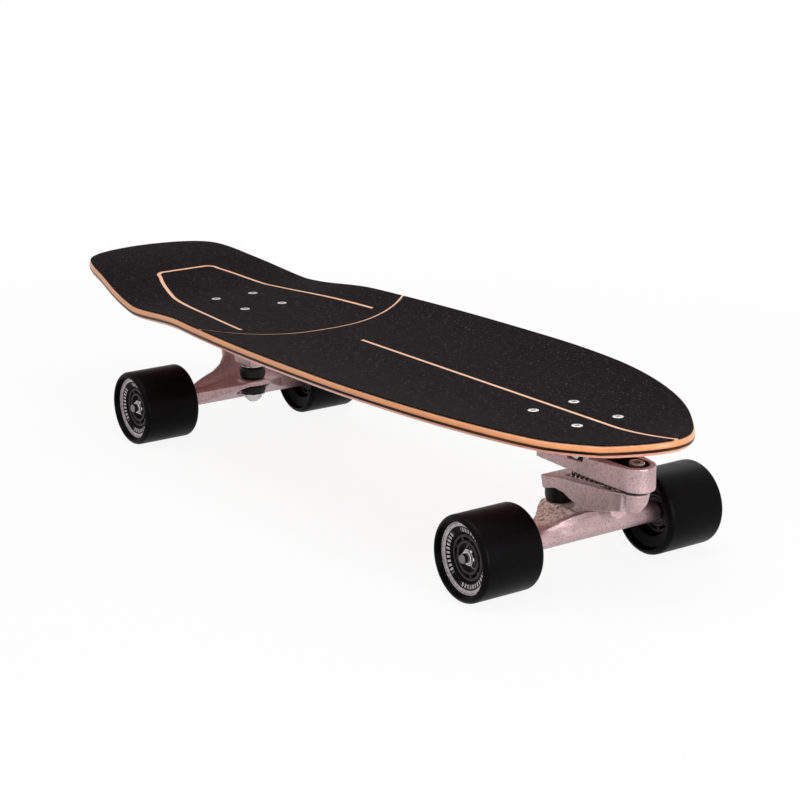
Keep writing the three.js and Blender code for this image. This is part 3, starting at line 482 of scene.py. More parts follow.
def turned(name, profile, place=Matrix(), segments=72, closed=True):
    """Turns (radius, height) points about local Z. An open profile starts and ends on the axis."""
    verts, faces, rows = [], [], []
    for radius, height in profile:
        if radius < TOUCHING:
            rows.append([len(verts)] * segments)
            verts.append((0, 0, height))
            continue
        rows.append([len(verts) + i for i in range(segments)])
        verts += ring_of(segments, lambda angle: radius, height)
    pairs = list(zip(rows, rows[1:])) + ([(rows[-1], rows[0])] if closed else [])
    for low, high in pairs:
        for i in range(segments):
            k = (i + 1) % segments
            corners = [low[i], low[k], high[k], high[i]]
            face = [c for n, c in enumerate(corners) if c not in corners[:n]]
            if len(face) > 2:
                faces.append(face)
    made = outward(mesh_object(name, verts, faces))
    made.data.transform(place)
    return smooth(made)


def hexagon_radius(flats, angle):
    part = (angle % (math.pi / 3)) - math.pi / 6
    return flats / 2 / math.cos(part)


def nut(name, flats, height, bore, place, crown=0):
    """A chamfered hexagon nut with a bore, and a round crown of the given height."""
    chamfer = flats * NUT_CHAMFER_SHARE
    body = height - crown
    rings = []
    for z in (0, chamfer / 2, chamfer, body - chamfer, body - chamfer / 2, body):
        cone = flats / 2 + min(z, body - z) * NUT_CONE_SLOPE
        rings.append(ring_of(NUT_SEGMENTS, lambda angle: min(hexagon_radius(flats, angle), cone), z))
    foot, top = flats * CROWN_FOOT_SHARE, flats * CROWN_TOP_SHARE
    cap = [(foot, body), (foot, height - crown * CROWN_ROUND_SHARE), (top, height)] if crown else []
    for radius, z in cap + [(bore, height), (bore, 0)]:
        rings.append(ring_of(NUT_SEGMENTS, lambda angle: radius, z))
    verts = [point for ring in rings for point in ring]
    faces = []
    for row in range(len(rings)):
        below = row * NUT_SEGMENTS
        above = ((row + 1) % len(rings)) * NUT_SEGMENTS
        for i in range(NUT_SEGMENTS):
            k = (i + 1) % NUT_SEGMENTS
            faces.append((below + i, below + k, above + k, above + i))
    made = outward(mesh_object(name, verts, faces))
    made.data.transform(place)
    return smooth(made, 25)


def prism(name, points, low, high):
    count = len(points)
    verts = [(x, y, low) for x, y in points] + [(x, y, high) for x, y in points]
    faces = [tuple(range(count)), tuple(count + i for i in range(count))]
    faces += [(i, (i + 1) % count, count + (i + 1) % count, count + i) for i in range(count)]
    return outward(mesh_object(name, verts, faces))


def vertex_places(mesh):
    points = np.empty(len(mesh.vertices) * 3)
    mesh.vertices.foreach_get("co", points)
    return points.reshape(-1, 3)


# Places

def standing(x, y, z):
    return Matrix.Translation((x, y, z))


def truck_place(axle_at):
    """The truck's own frame: x outboard, z up from the axle."""
    turn = Matrix.Identity(4) if axle_at > 0 else Matrix.Rotation(math.pi, 4, "Z")
    return standing(axle_at, 0, AXLE_HEIGHT) @ turn


def kingpin_place(axle_at):
    return truck_place(axle_at) @ standing(-KINGPIN_INBOARD, 0, 0)


def wheel_place(axle_at, side):
    """A wheel's frame: z along the axle, toward the outside of the board."""
    turn = Vector((0, 0, 1)).rotation_difference(Vector((0, side, 0))).to_matrix().to_4x4()
    return standing(axle_at, side * WHEEL_MIDDLE, AXLE_HEIGHT) @ turn


def swing_place():
    """On the leaning swing axis, at the pivot plane."""
    return standing(PIVOT_X, 0, PIVOT_PLANE) @ Matrix.Rotation(PIVOT_LEAN, 4, "Y")


def arc(x, y, radius, start, end, steps):
    angles = [start + (end - start) * i / steps for i in range(steps + 1)]
    return [(x + radius * math.cos(a), y + radius * math.sin(a)) for a in angles]


# Deck and grip tape

def smoothstep(value, low, high):
    share = np.clip((value - low) / (high - low), 0, 1)
    return share * share * (3 - 2 * share)


def rise_at(x):
    along_tail = np.clip((KICK_START - x) / (KICK_START + DECK_LENGTH / 2), 0, 1)
    along_nose = np.clip((x - NOSE_START) / (DECK_LENGTH / 2 - NOSE_START), 0, 2)
    return KICK_RISE * np.sin(math.pi / 2 * along_tail ** KICK_CURVE) + NOSE_RISE * along_nose ** NOSE_CURVE


def concave_at(x):
    along = np.clip((x - CONCAVE_TAIL_FULL) / (CONCAVE_NOSE_FULL - CONCAVE_TAIL_FULL), 0, 1)
    depth = TAIL_CONCAVE + (NOSE_CONCAVE - TAIL_CONCAVE) * along
    fade = np.clip((x - CONCAVE_FADE_START) / (CONCAVE_FADE_END - CONCAVE_FADE_START), 0, 1)
    return depth * smoothstep(x, KICK_START, CONCAVE_TAIL_FULL) * (1 - fade ** CONCAVE_FADE_CURVE)


def lift_at(x, share):
    beyond = np.maximum(0, np.abs(share) - FLAT_SHARE) / (1 - FLAT_SHARE)
    return rise_at(x) + concave_at(x) * np.minimum(beyond, 1) ** 2


def catmull(points, index, part, power, closed):
    """A point on the curve through points, after the given one. Power 0 is even, 0.25 follows the chords."""
    count = len(points)
    picks = [index - 1, index, index + 1, index + 2]
    near = [points[i % count] if closed else points[min(max(i, 0), count - 1)] for i in picks]
    steps = [max(float(np.sum((b - a) ** 2)) ** power, LEAST_CHORD) for a, b in zip(near, near[1:])]
    steps = [1.0 if power == 0 else step for step in steps]
    p0, p1, p2, p3 = near
    d0, d1, d2 = steps
    slope1 = ((p1 - p0) / d0 - (p2 - p0) / (d0 + d1) + (p2 - p1) / d1) * d1
    slope2 = ((p2 - p1) / d1 - (p3 - p1) / (d1 + d2) + (p3 - p2) / d2) * d1
    if power == 0:
        slope1, slope2 = (p2 - p0) / 2, (p3 - p1) / 2
    t = part
    return (p1 * (2 * t ** 3 - 3 * t ** 2 + 1) + slope1 * (t ** 3 - 2 * t ** 2 + t)
            + p2 * (3 * t ** 2 - 2 * t ** 3) + slope2 * (t ** 3 - t ** 2))


def outline_point(share):
    half = [np.array((a * DECK_LENGTH / 2, b * DECK_WIDTH / 2)) for a, b in OUTLINE_SHARES]
    whole = half + [p * (1, -1) for p in reversed(half[1:-1])]
    along = (share % 1) * len(whole)
    return catmull(whole, int(along), along - int(along), 0.25, True)


def outline_stations(inset):
    """The half outline from nose to tail, drawn in along its normal."""
    made = []
    for i in range(DECK_STATIONS):
        share = 0.5 * (i + TIP_SHARE) / (DECK_STATIONS - 1 + 2 * TIP_SHARE)
        point = outline_point(share)
        along = outline_point(share + OUTLINE_STEP_SHARE) - outline_point(share - OUTLINE_STEP_SHARE)
        along /= np.linalg.norm(along)
        made.append((point[0] - inset * along[1], max(point[1] + inset * along[0], LEAST_HALF_WIDTH)))
    return made


def half_width_at(x):
    outer = sorted(outline_stations(0))
    return np.interp(x, [p[0] for p in outer], [p[1] for p in outer])


def rail_profile():
    """The rail from the top's rim round to the underside's rim: how far in, and how high."""
    turns = [math.pi / 2 * k / RAIL_STEPS for k in range(RAIL_STEPS + 1)]
    top = [(RAIL_TOP_ROUND * (1 - math.sin(t)), DECK_THICKNESS - RAIL_TOP_ROUND * (1 - math.cos(t)))
           for t in turns]
    low = [(RAIL_BOTTOM_ROUND * (1 - math.sin(t)), RAIL_BOTTOM_ROUND * (1 - math.cos(t)))
           for t in reversed(turns)]
    return top + low


def across_shares(count):
    return [-1 + 2 * i / (count - 1) for i in range(count)]


def make_deck(sizes):
    rail = rail_profile()
    outlines = [outline_stations(inset) for inset, _ in rail]
    outer = outline_stations(0)
    rings, ply = [], []
    for i in range(DECK_STATIONS):
        (top_x, top_y), (low_x, low_y) = outlines[0][i], outlines[-1][i]
        ring = [(top_x, top_y * s, rail[0][1]) for s in across_shares(DECK_ACROSS)]
        ring += [(*outlines[k][i], rail[k][1]) for k in range(1, len(rail) - 1)]
        ring += [(low_x, low_y * -s, rail[-1][1]) for s in across_shares(DECK_ACROSS)]
        ring += [(outlines[k][i][0], -outlines[k][i][1], rail[k][1]) for k in range(len(rail) - 2, 0, -1)]
        rings.append([(x, y, DECK_UNDERSIDE + z + float(lift_at(x, y / outer[i][1]))) for x, y, z in ring])
        ply += [z / DECK_THICKNESS for _, _, z in ring]
    body = loft("deck_body", rings)
    lines = wood_lines(sizes.line_width / 2 - LINE_CLEARANCE, sizes.arc_width / 2 - LINE_CLEARANCE)
    ply += [1.0] * sum(len(line.data.vertices) for line in lines)
    deck = joined("deck_wood", [body, *lines])
    deck.data.attributes.new("ply", "FLOAT", "POINT").data.foreach_set("value", ply)
    smooth(outward(deck, merge=False), 50)
    finish_piece(deck, ply_wood(), "deck", ["deck"])


def wood_lines(half, arc_half):
    """The face ply that shows between the grip pieces, raised nearly to their tops."""
    low, high = -LINE_SINK, GRIP_THICKNESS - LINE_DEPTH
    curve = combined(grip_slab("arc_line", low, high), tail_side(arc_half), "INTERSECT")
    combined(curve, tail_side(-arc_half), "DIFFERENCE")
    tongue = combined(grip_slab("tongue_line", low, high), tail_side(-arc_half - LINE_STOP), "INTERSECT")
    combined(tongue, tongue_shape(half), "INTERSECT")
    combined(tongue, tongue_shape(-half), "DIFFERENCE")
    stringer = combined(grip_slab("stringer_line", low, high), stringer_shape(half), "INTERSECT")
    lines = [curve, tongue, stringer]
    for line in lines:
        laid_on_deck(line)
        line.data.materials.clear()
    return lines


def grip_slab(name, low=0, high=GRIP_THICKNESS):
    shares = across_shares(GRIP_ACROSS)
    rings = []
    for x, y in outline_stations(GRIP_INSET):
        top = [(x, y * s, high) for s in shares]
        rings.append(top + [(x, y * s, low) for s in reversed(shares)])
    return outward(loft(name, rings))


def through_grip(name, points):
    """A cutter that passes through the flat grip."""
    return prism(name, points, -GRIP_THICKNESS, 2 * GRIP_THICKNESS)


def stringer_shape(half):
    far = DECK_LENGTH
    near = STRINGER_START
    return through_grip("stringer", [(near, -half), (far, -half), (far, half), (near, half)])


def tail_side(grow):
    centre = ARC_FRONT - ARC_RADIUS
    far = DECK_LENGTH
    curve = arc(centre, 0, ARC_RADIUS + grow, -math.pi / 2, math.pi / 2, ARC_STEPS)
    return through_grip("tail_side", [(-far, -far), (centre, -far)] + curve + [(centre, far), (-far, far)])


def tongue_shape(grow):
    length = ARC_FRONT - TONGUE_END
    points = [np.array((ARC_FRONT - a * length, b * TONGUE_HALF_WIDTH)) for a, b in TONGUE_SIDE_SHARES]
    steps = TONGUE_SIDE_STEPS
    line = [catmull(points, i, k / steps, 0, False) for i in range(len(points) - 1) for k in range(steps)]
    line.append(points[-1])
    upper = [(DECK_LENGTH, TONGUE_HALF_WIDTH + grow)] + [(p[0], p[1] + grow) for p in line]
    upper += arc(TONGUE_END + TONGUE_CORNER, TONGUE_END_HALF, TONGUE_CORNER + grow, math.pi / 2, math.pi,
                 TONGUE_CORNER_STEPS)
    return through_grip("tongue_shape", upper + [(x, -y) for x, y in reversed(upper)])


def bolt_places(middle):
    return [(middle + sx * BOLT_SPACING[0] / 2, sy * BOLT_SPACING[1] / 2) for sx in (-1, 1) for sy in (-1, 1)]


def bolt_holes(sheet, middle):
    for x, y in bolt_places(middle):
        edge = arc(x, y, BOLT_HEAD_RADIUS + GAP, 0, 2 * math.pi, HOLE_STEPS)[:-1]
        combined(sheet, through_grip("hole", edge), "DIFFERENCE")


def laid_on_deck(sheet):
    """Lays a flat sheet on the deck's curved top."""
    mesh = sheet.data
    points = vertex_places(mesh)
    share = points[:, 1] / np.maximum(half_width_at(points[:, 0]), LEAST_SPAN)
    points[:, 2] += GRIP_BOTTOM + lift_at(points[:, 0], share)
    mesh.vertices.foreach_set("co", points.ravel())
    mesh.update()


def make_grip(sizes):
    half = sizes.line_width / 2
    arc_half = sizes.arc_width / 2
    tail = combined(grip_slab("grip_tail_sheet"), tail_side(-arc_half), "INTERSECT")
    tongue = tail.copy()
    tongue.data = tail.data.copy()
    tongue.name = "grip_tongue_sheet"
    bpy.context.scene.collection.objects.link(tongue)
    combined(tail, combined(tongue_shape(half), tail_side(-arc_half - LINE_STOP), "INTERSECT"), "DIFFERENCE")
    combined(tail, tongue_shape(GAP - half), "DIFFERENCE")
    combined(tongue, tongue_shape(-half), "INTERSECT")
    bolt_holes(tongue, REAR_BOLTS_AT)
    nose = combined(grip_slab("grip_nose_sheet"), tail_side(arc_half), "DIFFERENCE")
    combined(nose, stringer_shape(half), "DIFFERENCE")
    bolt_holes(nose, FRONT_BOLTS_AT)
    material = grip_tape(sizes)
    for sheet, name in ((tail, "grip_tail"), (tongue, "grip_tongue"), (nose, "grip_nose")):
        laid_on_deck(sheet)
        smooth(outward(sheet), 40)
        finish_piece(sheet, material, "deck", [name])


# Repeated pieces

def tree_with(name, inputs):
    """A Geometry Nodes tree with named inputs, and the nodes at its two ends."""
    tree = bpy.data.node_groups.new(name, "GeometryNodeTree")
    keys = {}
    for label, kind, default in inputs:
        socket = tree.interface.new_socket(name=label, in_out="INPUT", socket_type=kind)
        if default is not None:
            socket.default_value = default
        keys[label] = socket.identifier
    tree.interface.new_socket(name="Geometry", in_out="OUTPUT", socket_type="NodeSocketGeometry")
    return tree, keys, tree.nodes.new("NodeGroupInput"), tree.nodes.new("NodeGroupOutput")


def ended(tree, geometry, start, end):
    """Ends a tree in Realize Instances and Set Material."""
    real = node(tree, "GeometryNodeRealizeInstances", {0: geometry})
    painted = node(tree, "GeometryNodeSetMaterial", {
        "Geometry": real.outputs[0], "Material": start.outputs["Material"]})
    tree.links.new(painted.outputs[0], end.inputs[0])


def copied_on(tree, start, points, turn=(0, 0, 0)):
    """Puts the tree's template on every point."""
    template = node(tree, "GeometryNodeObjectInfo", {"Object": start.outputs["Template"]})
    return node(tree, "GeometryNodeInstanceOnPoints", {
        "Points": points, "Instance": template.outputs["Geometry"], "Rotation": turn}).outputs[0]


def bolt_pattern_tree():
    """Copies a template to the four corners of both bolt patterns."""
    tree, keys, start, end = tree_with("Bolt patterns", [
        ("Template", "NodeSocketObject", None),
        ("Spacing along", "NodeSocketFloat", BOLT_SPACING[0]),
        ("Spacing across", "NodeSocketFloat", BOLT_SPACING[1]),
        ("Front pattern at", "NodeSocketFloat", FRONT_BOLTS_AT),
        ("Rear pattern at", "NodeSocketFloat", REAR_BOLTS_AT),
        ("Material", "NodeSocketMaterial", None),
    ])
    grid = node(tree, "GeometryNodeMeshGrid", {
        "Size X": start.outputs["Spacing along"], "Size Y": start.outputs["Spacing across"],
        "Vertices X": 2, "Vertices Y": 2})
    both = tree.nodes.new("GeometryNodeJoinGeometry")
    for label in ("Front pattern at", "Rear pattern at"):
        place = node(tree, "ShaderNodeCombineXYZ", {"X": start.outputs[label]})
        moved = node(tree, "GeometryNodeTransform", {
            "Geometry": grid.outputs[0], "Translation": place.outputs[0]})
        tree.links.new(moved.outputs[0], both.inputs[0])
    ended(tree, copied_on(tree, start, both.outputs[0]), start, end)
    return tree, keys


def around_tree():
    """Copies a template round the Z axis."""
    tree, keys, start, end = tree_with("Round the axle", [
        ("Template", "NodeSocketObject", None),
        ("Count", "NodeSocketInt", SPOKES),
        ("Material", "NodeSocketMaterial", None),
    ])
    line = node(tree, "GeometryNodeMeshLine", {"Count": start.outputs["Count"], "Offset": (0, 0, 0)})
    index = tree.nodes.new("GeometryNodeInputIndex")
    share = math_of("DIVIDE", index.outputs[0], start.outputs["Count"])
    turn = node(tree, "ShaderNodeCombineXYZ", {"Z": product(share, 2 * math.pi)})
    ended(tree, copied_on(tree, start, line.outputs[0], turn.outputs[0]), start, end)
    return tree, keys


def grown(name, tree_and_keys, values):
    """Runs a tree on an empty mesh and returns the plain result."""
    tree, keys = tree_and_keys
    holder = mesh_object(name, [], [])
    modifier = holder.modifiers.new("repeat", "NODES")
    modifier.node_group = tree
    for label, value in values.items():
        modifier[keys[label]] = value
    return smooth(baked(holder), 30)


def bolt_template():
    """One countersunk bolt with a cross recess, its top at the grip's top."""
    bottom = BOLT_END - GRIP_TOP
    profile = [
        (0, bottom), (BOLT_RADIUS * BOLT_TIP_SHARE, bottom), (BOLT_RADIUS, bottom + BOLT_TIP),
        (BOLT_RADIUS, -BOLT_HEAD_HEIGHT), (BOLT_HEAD_RADIUS, -BOLT_RIM),
        (BOLT_HEAD_RADIUS * BOLT_EDGE_SHARE, -BOLT_EDGE), (BOLT_HEAD_RADIUS * BOLT_FLAT_SHARE, 0), (0, 0),
    ]
    bolt = turned("bolt_template", profile, standing(0, 0, GRIP_TOP), 48, closed=False)
    corners = [(-CROSS_REACH, -CROSS_HALF), (CROSS_REACH, -CROSS_HALF), (CROSS_REACH, CROSS_HALF),
               (-CROSS_REACH, CROSS_HALF)]
    for turn in (0, math.pi / 2):
        slot = prism("slot", corners, GRIP_TOP - CROSS_DEPTH, GRIP_TOP + CROSS_DEPTH)
        slot.data.transform(Matrix.Rotation(turn + CROSS_TURN, 4, "Z"))
        combined(bolt, slot, "DIFFERENCE")
    return bolt


def make_deck_bolts():
    tree = bolt_pattern_tree()
    steel = plated_steel()
    place = standing(0, 0, NUT_TOP) @ Matrix.Rotation(math.pi, 4, "X")
    bolt = bolt_template()
    lock = nut("lock_nut_template", NUT_FLATS, NUT_HEIGHT, BOLT_RADIUS, place, NUT_CROWN)
    ends = [f"{end}_{i}" for end in ("front", "rear") for i in range(1, 5)]
    for name, template, source in (("deck_bolts", bolt, "deck_bolt"), ("lock_nuts", lock, "lock_nut")):
        copies = grown(name, tree, {"Template": template, "Material": steel})
        removed(template)
        finish_piece(copies, steel, "deck", [f"{source}_{end}" for end in ends])


# Wheels

def tyre_profile(sizes):
    """Closed section of the urethane: a broad tread, round lips and dished faces."""
    bore = CORE_RADIUS + GAP
    lip = sizes.wheel_lip
    crest = (WHEEL_RADIUS - lip, WHEEL_HALF)
    dish = [(MOUTH[0], WHEEL_HALF - MOUTH[1]), (LIP_FOOT[0], WHEEL_HALF - LIP_FOOT[1]), crest]
    shoulder = arc(WHEEL_RADIUS - lip, WHEEL_HALF - lip, lip, math.pi / 2, 0, 10)[2:]
    outer, inner = [
        rounded([(bore, face), *dish, shoulder[0]], TYRE_ROUND, 6, closed=False) + shoulder[1:]
        for face in (CORE_REACH, BEARING_FACE)]
    return outer + [(radius, -height) for radius, height in reversed(inner)]


def make_tyre(name, place, sizes):
    tyre = turned(name, tyre_profile(sizes), segments=TYRE_SEGMENTS)
    east, north, height = vertex_places(tyre.data).T
    radius = np.hypot(east, north)
    for label, numbers in (("radius", radius), ("height", height), ("east", east), ("north", north)):
        layer = tyre.data.attributes.new(label, "FLOAT", "POINT")
        layer.data.foreach_set("value", numbers.astype(np.float32))
    tyre.data.transform(place)
    return tyre


def band_profile(inner, outer, low, high):
    """A square section between two radii and two heights."""
    return [(inner, low), (outer, low), (outer, high), (inner, high)]


def make_core(name, place, tree, material):
    """A hub and a rim with a recessed web and short spokes between them."""
    low, high = -BEARING_FACE, CORE_REACH
    hub = turned("hub", rounded(band_profile(BEARING_RADIUS + GAP, HUB_RADIUS, low, high), HUB_ROUND))
    rim = turned("rim", rounded(band_profile(RIM_BORE, CORE_RADIUS, low, high), RIM_ROUND))
    web = turned("web", band_profile(HUB_RADIUS - GAP, RIM_BORE + GAP, WEB_BOTTOM, WEB_TOP))
    foot, tip = HUB_RADIUS - SPOKE_LAP, RIM_BORE + SPOKE_LAP
    wide, narrow = SPOKE_TIP_HALF, SPOKE_FOOT_HALF
    section = rounded([(foot, -narrow), (tip, -wide), (tip, wide), (foot, narrow)], SPOKE_ROUND)
    spoke = prism("spoke_template", section, low + SPOKE_BACK_INSET, high - SPOKE_FRONT_INSET)
    spokes = grown("spokes", tree, {"Template": spoke, "Count": SPOKES, "Material": material})
    removed(spoke)
    core = joined(name, [hub, rim, web, spokes])
    core.data.transform(place)
    return smooth(core, 30)


def make_bearings(name, place, steel, shield_and_shade):
    """Two bearings, each an outer ring, a recessed shield and an inner ring, and the tube between them. The
    inboard bearing's rings take the dark shield finish as painted shade.
    """
    parts = []

    def add(profile, material):
        part = turned("part", profile)
        part.data.materials.append(material)
        parts.append(part)

    bore = AXLE_RADIUS + GAP
    inner = BEARING_FACE - BEARING_WIDTH
    for side in (-1, 1):
        face, back = side * BEARING_FACE, side * inner
        shaded = side * (BEARING_FACE - SHIELD_INSET)
        for low, high in ((OUTER_RACE_BORE, BEARING_RADIUS), (bore, INNER_RACE_RADIUS)):
            # Painted shade: the inboard bearing's rings take the dark shield finish instead of steel.
            add(rounded(band_profile(low, high, back, face), RACE_ROUND), steel if side > 0 else shield_and_shade)
        low, high = INNER_RACE_RADIUS - SHIELD_LAP, OUTER_RACE_BORE + SHIELD_LAP
        add(rounded(band_profile(low, high, back, shaded), SHIELD_ROUND), shield_and_shade)
    add(band_profile(bore, SPACER_RADIUS, -inner, inner), steel)
    bearings = joined(name, parts)
    bearings.data.transform(place)
    return smooth(bearings, 35)


def make_axle(end, axle_at):
    reach = WHEEL_MIDDLE + BEARING_FACE + GAP + AXLE_NUT_HEIGHT + AXLE_TAIL
    thin = AXLE_RADIUS - AXLE_CHAMFER
    ends = [(0, -reach), (thin, -reach), (AXLE_RADIUS, -reach + AXLE_CHAMFER),
            (AXLE_RADIUS, reach - AXLE_CHAMFER), (thin, reach), (0, reach)]
    along = standing(axle_at, 0, AXLE_HEIGHT) @ Matrix.Rotation(math.pi / 2, 4, "X")
    return turned(f"{end}_axle_rod", ends, along, 48, closed=False)


def make_wheels(sizes):
    tree = around_tree()
    urethane = wheel_urethane(sizes)
    nylon = black_nylon()
    steel = plated_steel()
    axle_steel = plated_steel("axle steel", AXLE_SHADE)
    # The dark shield finish, also used as painted shade on the inboard bearing rings and the swing bearing.
    shield_and_shade = shield_steel_and_shade()
    for end, axle_at in (("front", FRONT_AXLE_AT), ("rear", REAR_AXLE_AT)):
        hanger = f"{end}_hanger"
        for hand, side in (("left", 1), ("right", -1)):
            place = wheel_place(axle_at, side)
            at = f"{end}_{hand}"
            tyre = make_tyre(f"urethane_{at}", place, sizes)
            finish_piece(tyre, urethane, f"wheel_{at}", [f"tyre_{at}"])
            core = make_core(f"spoked_core_{at}", place, tree, nylon)
            finish_piece(core, nylon, f"wheel_{at}", [f"core_{at}"])
            bearings = make_bearings(f"bearing_pair_{at}", place, steel, shield_and_shade)
            finish_piece(bearings, None, f"wheel_{at}", [f"bearings_{at}"])
            seat = place @ standing(0, 0, BEARING_FACE + GAP)
            lock = nut(f"axle_lock_nut_{at}", AXLE_NUT_FLATS, AXLE_NUT_HEIGHT, AXLE_RADIUS, seat,
                       AXLE_NUT_CROWN)
            finish_piece(lock, steel, hanger, [f"axle_nut_{at}"])
        finish_piece(make_axle(end, axle_at), axle_steel, hanger, [f"{end}_axle"])


# Castings, steering and swing

def casting(name, source, sizes, rounds):
    """A casting with its edges softened, from the merged copy of a frame solid."""
    made = bpy.data.objects.new(name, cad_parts[source].data.copy())
    bpy.context.scene.collection.objects.link(made)
    made.data.materials.clear()
    outward(made)
    grid = made.modifiers.new("grid", "REMESH")
    grid.mode = "VOXEL"
    grid.voxel_size = sizes.cast_voxel
    soften = made.modifiers.new("soften", "SMOOTH")
    soften.factor = SMOOTHING_SHARE
    soften.iterations = rounds
    baked(made)
    made.data.shade_smooth()
    return made


def make_castings(sizes):
    plain = cast_aluminium("cast aluminium")
    # The front base carries painted shade in its boss's recess.
    recess_shaded = cast_aluminium("sealed cast aluminium", recess_shaded=True)
    # The front hanger's hump is burnished, with painted reflections in its colour.
    burnished_with_sheen = cast_aluminium("burnished cast aluminium", burnish_and_sheen_at=FRONT_AXLE_AT - KINGPIN_INBOARD)
    for source, body, rounds, material in (
        ("front_base", "deck", CASTING_SMOOTHING, recess_shaded),
        ("rear_base", "deck", CASTING_SMOOTHING, plain),
        ("swing_arm", "swing_arm", CASTING_SMOOTHING, plain),
        ("front_hanger", "front_hanger", HANGER_SMOOTHING, burnished_with_sheen),
        ("rear_hanger", "rear_hanger", HANGER_SMOOTHING, plain),
    ):
        made = casting(f"{source}_casting", source, sizes, rounds)
        finish_piece(made, material, body, [source])


def bushing_profile(bottom, top):
    """A barrel whose bore flares toward both ends, so that it can bend round the kingpin."""
    middle = (bottom + top) / 2
    waist = BUSHING_RADIUS - BUSHING_DRAFT
    bore = KINGPIN_RADIUS + GAP
    mouth = bore + BUSHING_FLARE
    swell = (middle - bottom) * BUSHING_BULGE_SHARE
    return rounded([
        (bore, middle), (mouth, bottom), (waist, bottom), (BUSHING_RADIUS, bottom + swell),
        (BUSHING_RADIUS, top - swell), (waist, top), (mouth, top)], BUSHING_ROUND)


def washer_profile(bottom):
    bore = KINGPIN_RADIUS + GAP
    rim = WASHER_RADIUS
    top = bottom + WASHER_THICKNESS
    cup = top - WASHER_CUP_DEPTH
    return rounded([
        (bore, bottom), (rim - WASHER_EDGE, bottom), (rim, bottom + WASHER_EDGE), (rim, top - WASHER_EDGE),
        (rim - WASHER_RIM_ROUND, top), (rim - WASHER_CUP_RIM, top), (rim - WASHER_CUP_FOOT, cup),
        (bore, cup)], WASHER_ROUND, 3)


def kingpin_profile(bottom, top, headed):
    """The kingpin from its lower end to its head, or to a plain chamfered top."""
    if headed:
        radius, height = KINGPIN_HEAD
        socket, depth = KINGPIN_SOCKET
        edge = KINGPIN_HEAD_EDGE
        end = [(KINGPIN_RADIUS, top - height), (radius, top - height), (radius, top - edge),
               (radius - edge, top), (socket, top), (socket, top - depth), (0, top - depth)]
    else:
        end = [(KINGPIN_RADIUS, top - KINGPIN_TIP), (KINGPIN_RADIUS - KINGPIN_TIP, top), (0, top)]
    thin = KINGPIN_RADIUS - KINGPIN_CHAMFER
    return [(0, bottom), (thin, bottom), (KINGPIN_RADIUS, bottom + KINGPIN_CHAMFER)] + end


def bushing(name, source, place, ring_end, seat_end):
    """A soft bushing from the hanger's ring to its seat, in place of the frame's one."""
    made = turned(name, bushing_profile(*sorted((ring_end, seat_end))), place, 96)
    made.data.materials.append(bushing_rubber())
    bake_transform(made)
    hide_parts(source)


def node_heights(name):
    low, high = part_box(name)
    return low[2], high[2]


def make_steering():
    steel = plated_steel()
    for end, axle_at, seat, headed, body in (
        ("front", FRONT_AXLE_AT, FRONT_SEAT, False, "swing_arm"),
        ("rear", REAR_AXLE_AT, REAR_SEAT, True, "deck"),
    ):
        place = kingpin_place(axle_at)
        board_top = seat - GAP - (WASHER_THICKNESS + GAP if headed else 0)
        road_top = RING_BOTTOM - GAP
        road_bottom = road_top - ROAD_BUSHING
        washer_bottom = road_bottom - GAP - WASHER_THICKNESS
        nut_place = place @ standing(0, 0, washer_bottom - GAP) @ Matrix.Rotation(math.pi, 4, "X")
        bottom, top = (value - AXLE_HEIGHT for value in node_heights(f"{end}_kingpin"))
        bushing(f"{end}_upper_bushing", f"{end}_board_bushing", place, RING_TOP + GAP, board_top)
        bushing(f"{end}_lower_bushing", f"{end}_road_bushing", place, road_top, road_bottom)
        under = turned(f"{end}_lower_washer", washer_profile(washer_bottom), place, 96)
        finish_piece(under, steel, body, [f"{end}_road_washer"])
        lock = nut(f"{end}_kingpin_lock_nut", KINGPIN_NUT_FLATS, KINGPIN_NUT_HEIGHT, KINGPIN_RADIUS,
                   nut_place, KINGPIN_NUT_CROWN)
        finish_piece(lock, steel, body, [f"{end}_kingpin_nut"])
        if headed:
            above = turned("rear_upper_washer", washer_profile(board_top + GAP), place, 96)
            finish_piece(above, steel, body, ["rear_board_washer"])
        pin = turned(f"{end}_kingpin_bolt", kingpin_profile(bottom, top, headed), place, 64, closed=False)
        finish_piece(pin, steel, body, [f"{end}_kingpin"])


def make_swing_pivot():
    """The leaning pivot bolt, with a hexagon socket in its head."""
    rim, head = PIVOT_HEAD_RADIUS, PIVOT_HEAD_SEAT + PIVOT_HEAD_HEIGHT
    shank, tail = PIVOT_SHANK_RADIUS, PIVOT_SHANK_END
    profile = [
        (0, tail), (shank - PIVOT_SHANK_TIP[0], tail), (shank, tail + PIVOT_SHANK_TIP[1]),
        (shank, PIVOT_HEAD_SEAT), (rim, PIVOT_HEAD_SEAT), (rim, head - PIVOT_HEAD_EDGE[1]),
        (rim - PIVOT_HEAD_EDGE[0], head), (0, head),
    ]
    bolt = turned("swing_pivot_bolt", profile, segments=64, closed=False)
    hexagon = arc(0, 0, PIVOT_SOCKET_RADIUS, 0, 2 * math.pi, 6)[:-1]
    socket = prism("socket", hexagon, head - PIVOT_SOCKET_DEPTH, head + PIVOT_SOCKET_DEPTH)
    combined(bolt, socket, "DIFFERENCE")
    bolt.data.transform(swing_place())
    finish_piece(smooth(bolt), plated_steel(), "swing_arm", ["pivot_bolt"])


def make_thrust_race():
    """The flanged bearing between the front base and the swing arm, in the dark shield finish as painted
    shade.
    """
    low, high = GAP - THRUST_GAP, -GAP
    rim, waist = THRUST_RADIUS, THRUST_RADIUS - THRUST_GROOVE
    foot = THRUST_FLANGE + THRUST_SLOPE
    section = rounded([
        (THRUST_BORE, low), (rim, low), (rim, low + THRUST_FLANGE), (waist, low + foot),
        (waist, high - foot), (rim, high - THRUST_FLANGE), (rim, high), (THRUST_BORE, high)], THRUST_ROUND, 2)
    race = turned("thrust_race", section, swing_place(), 96)
    # Painted shade: the race takes the dark shield finish.
    finish_piece(race, shield_steel_and_shade(), "deck", ["thrust_bearing"])


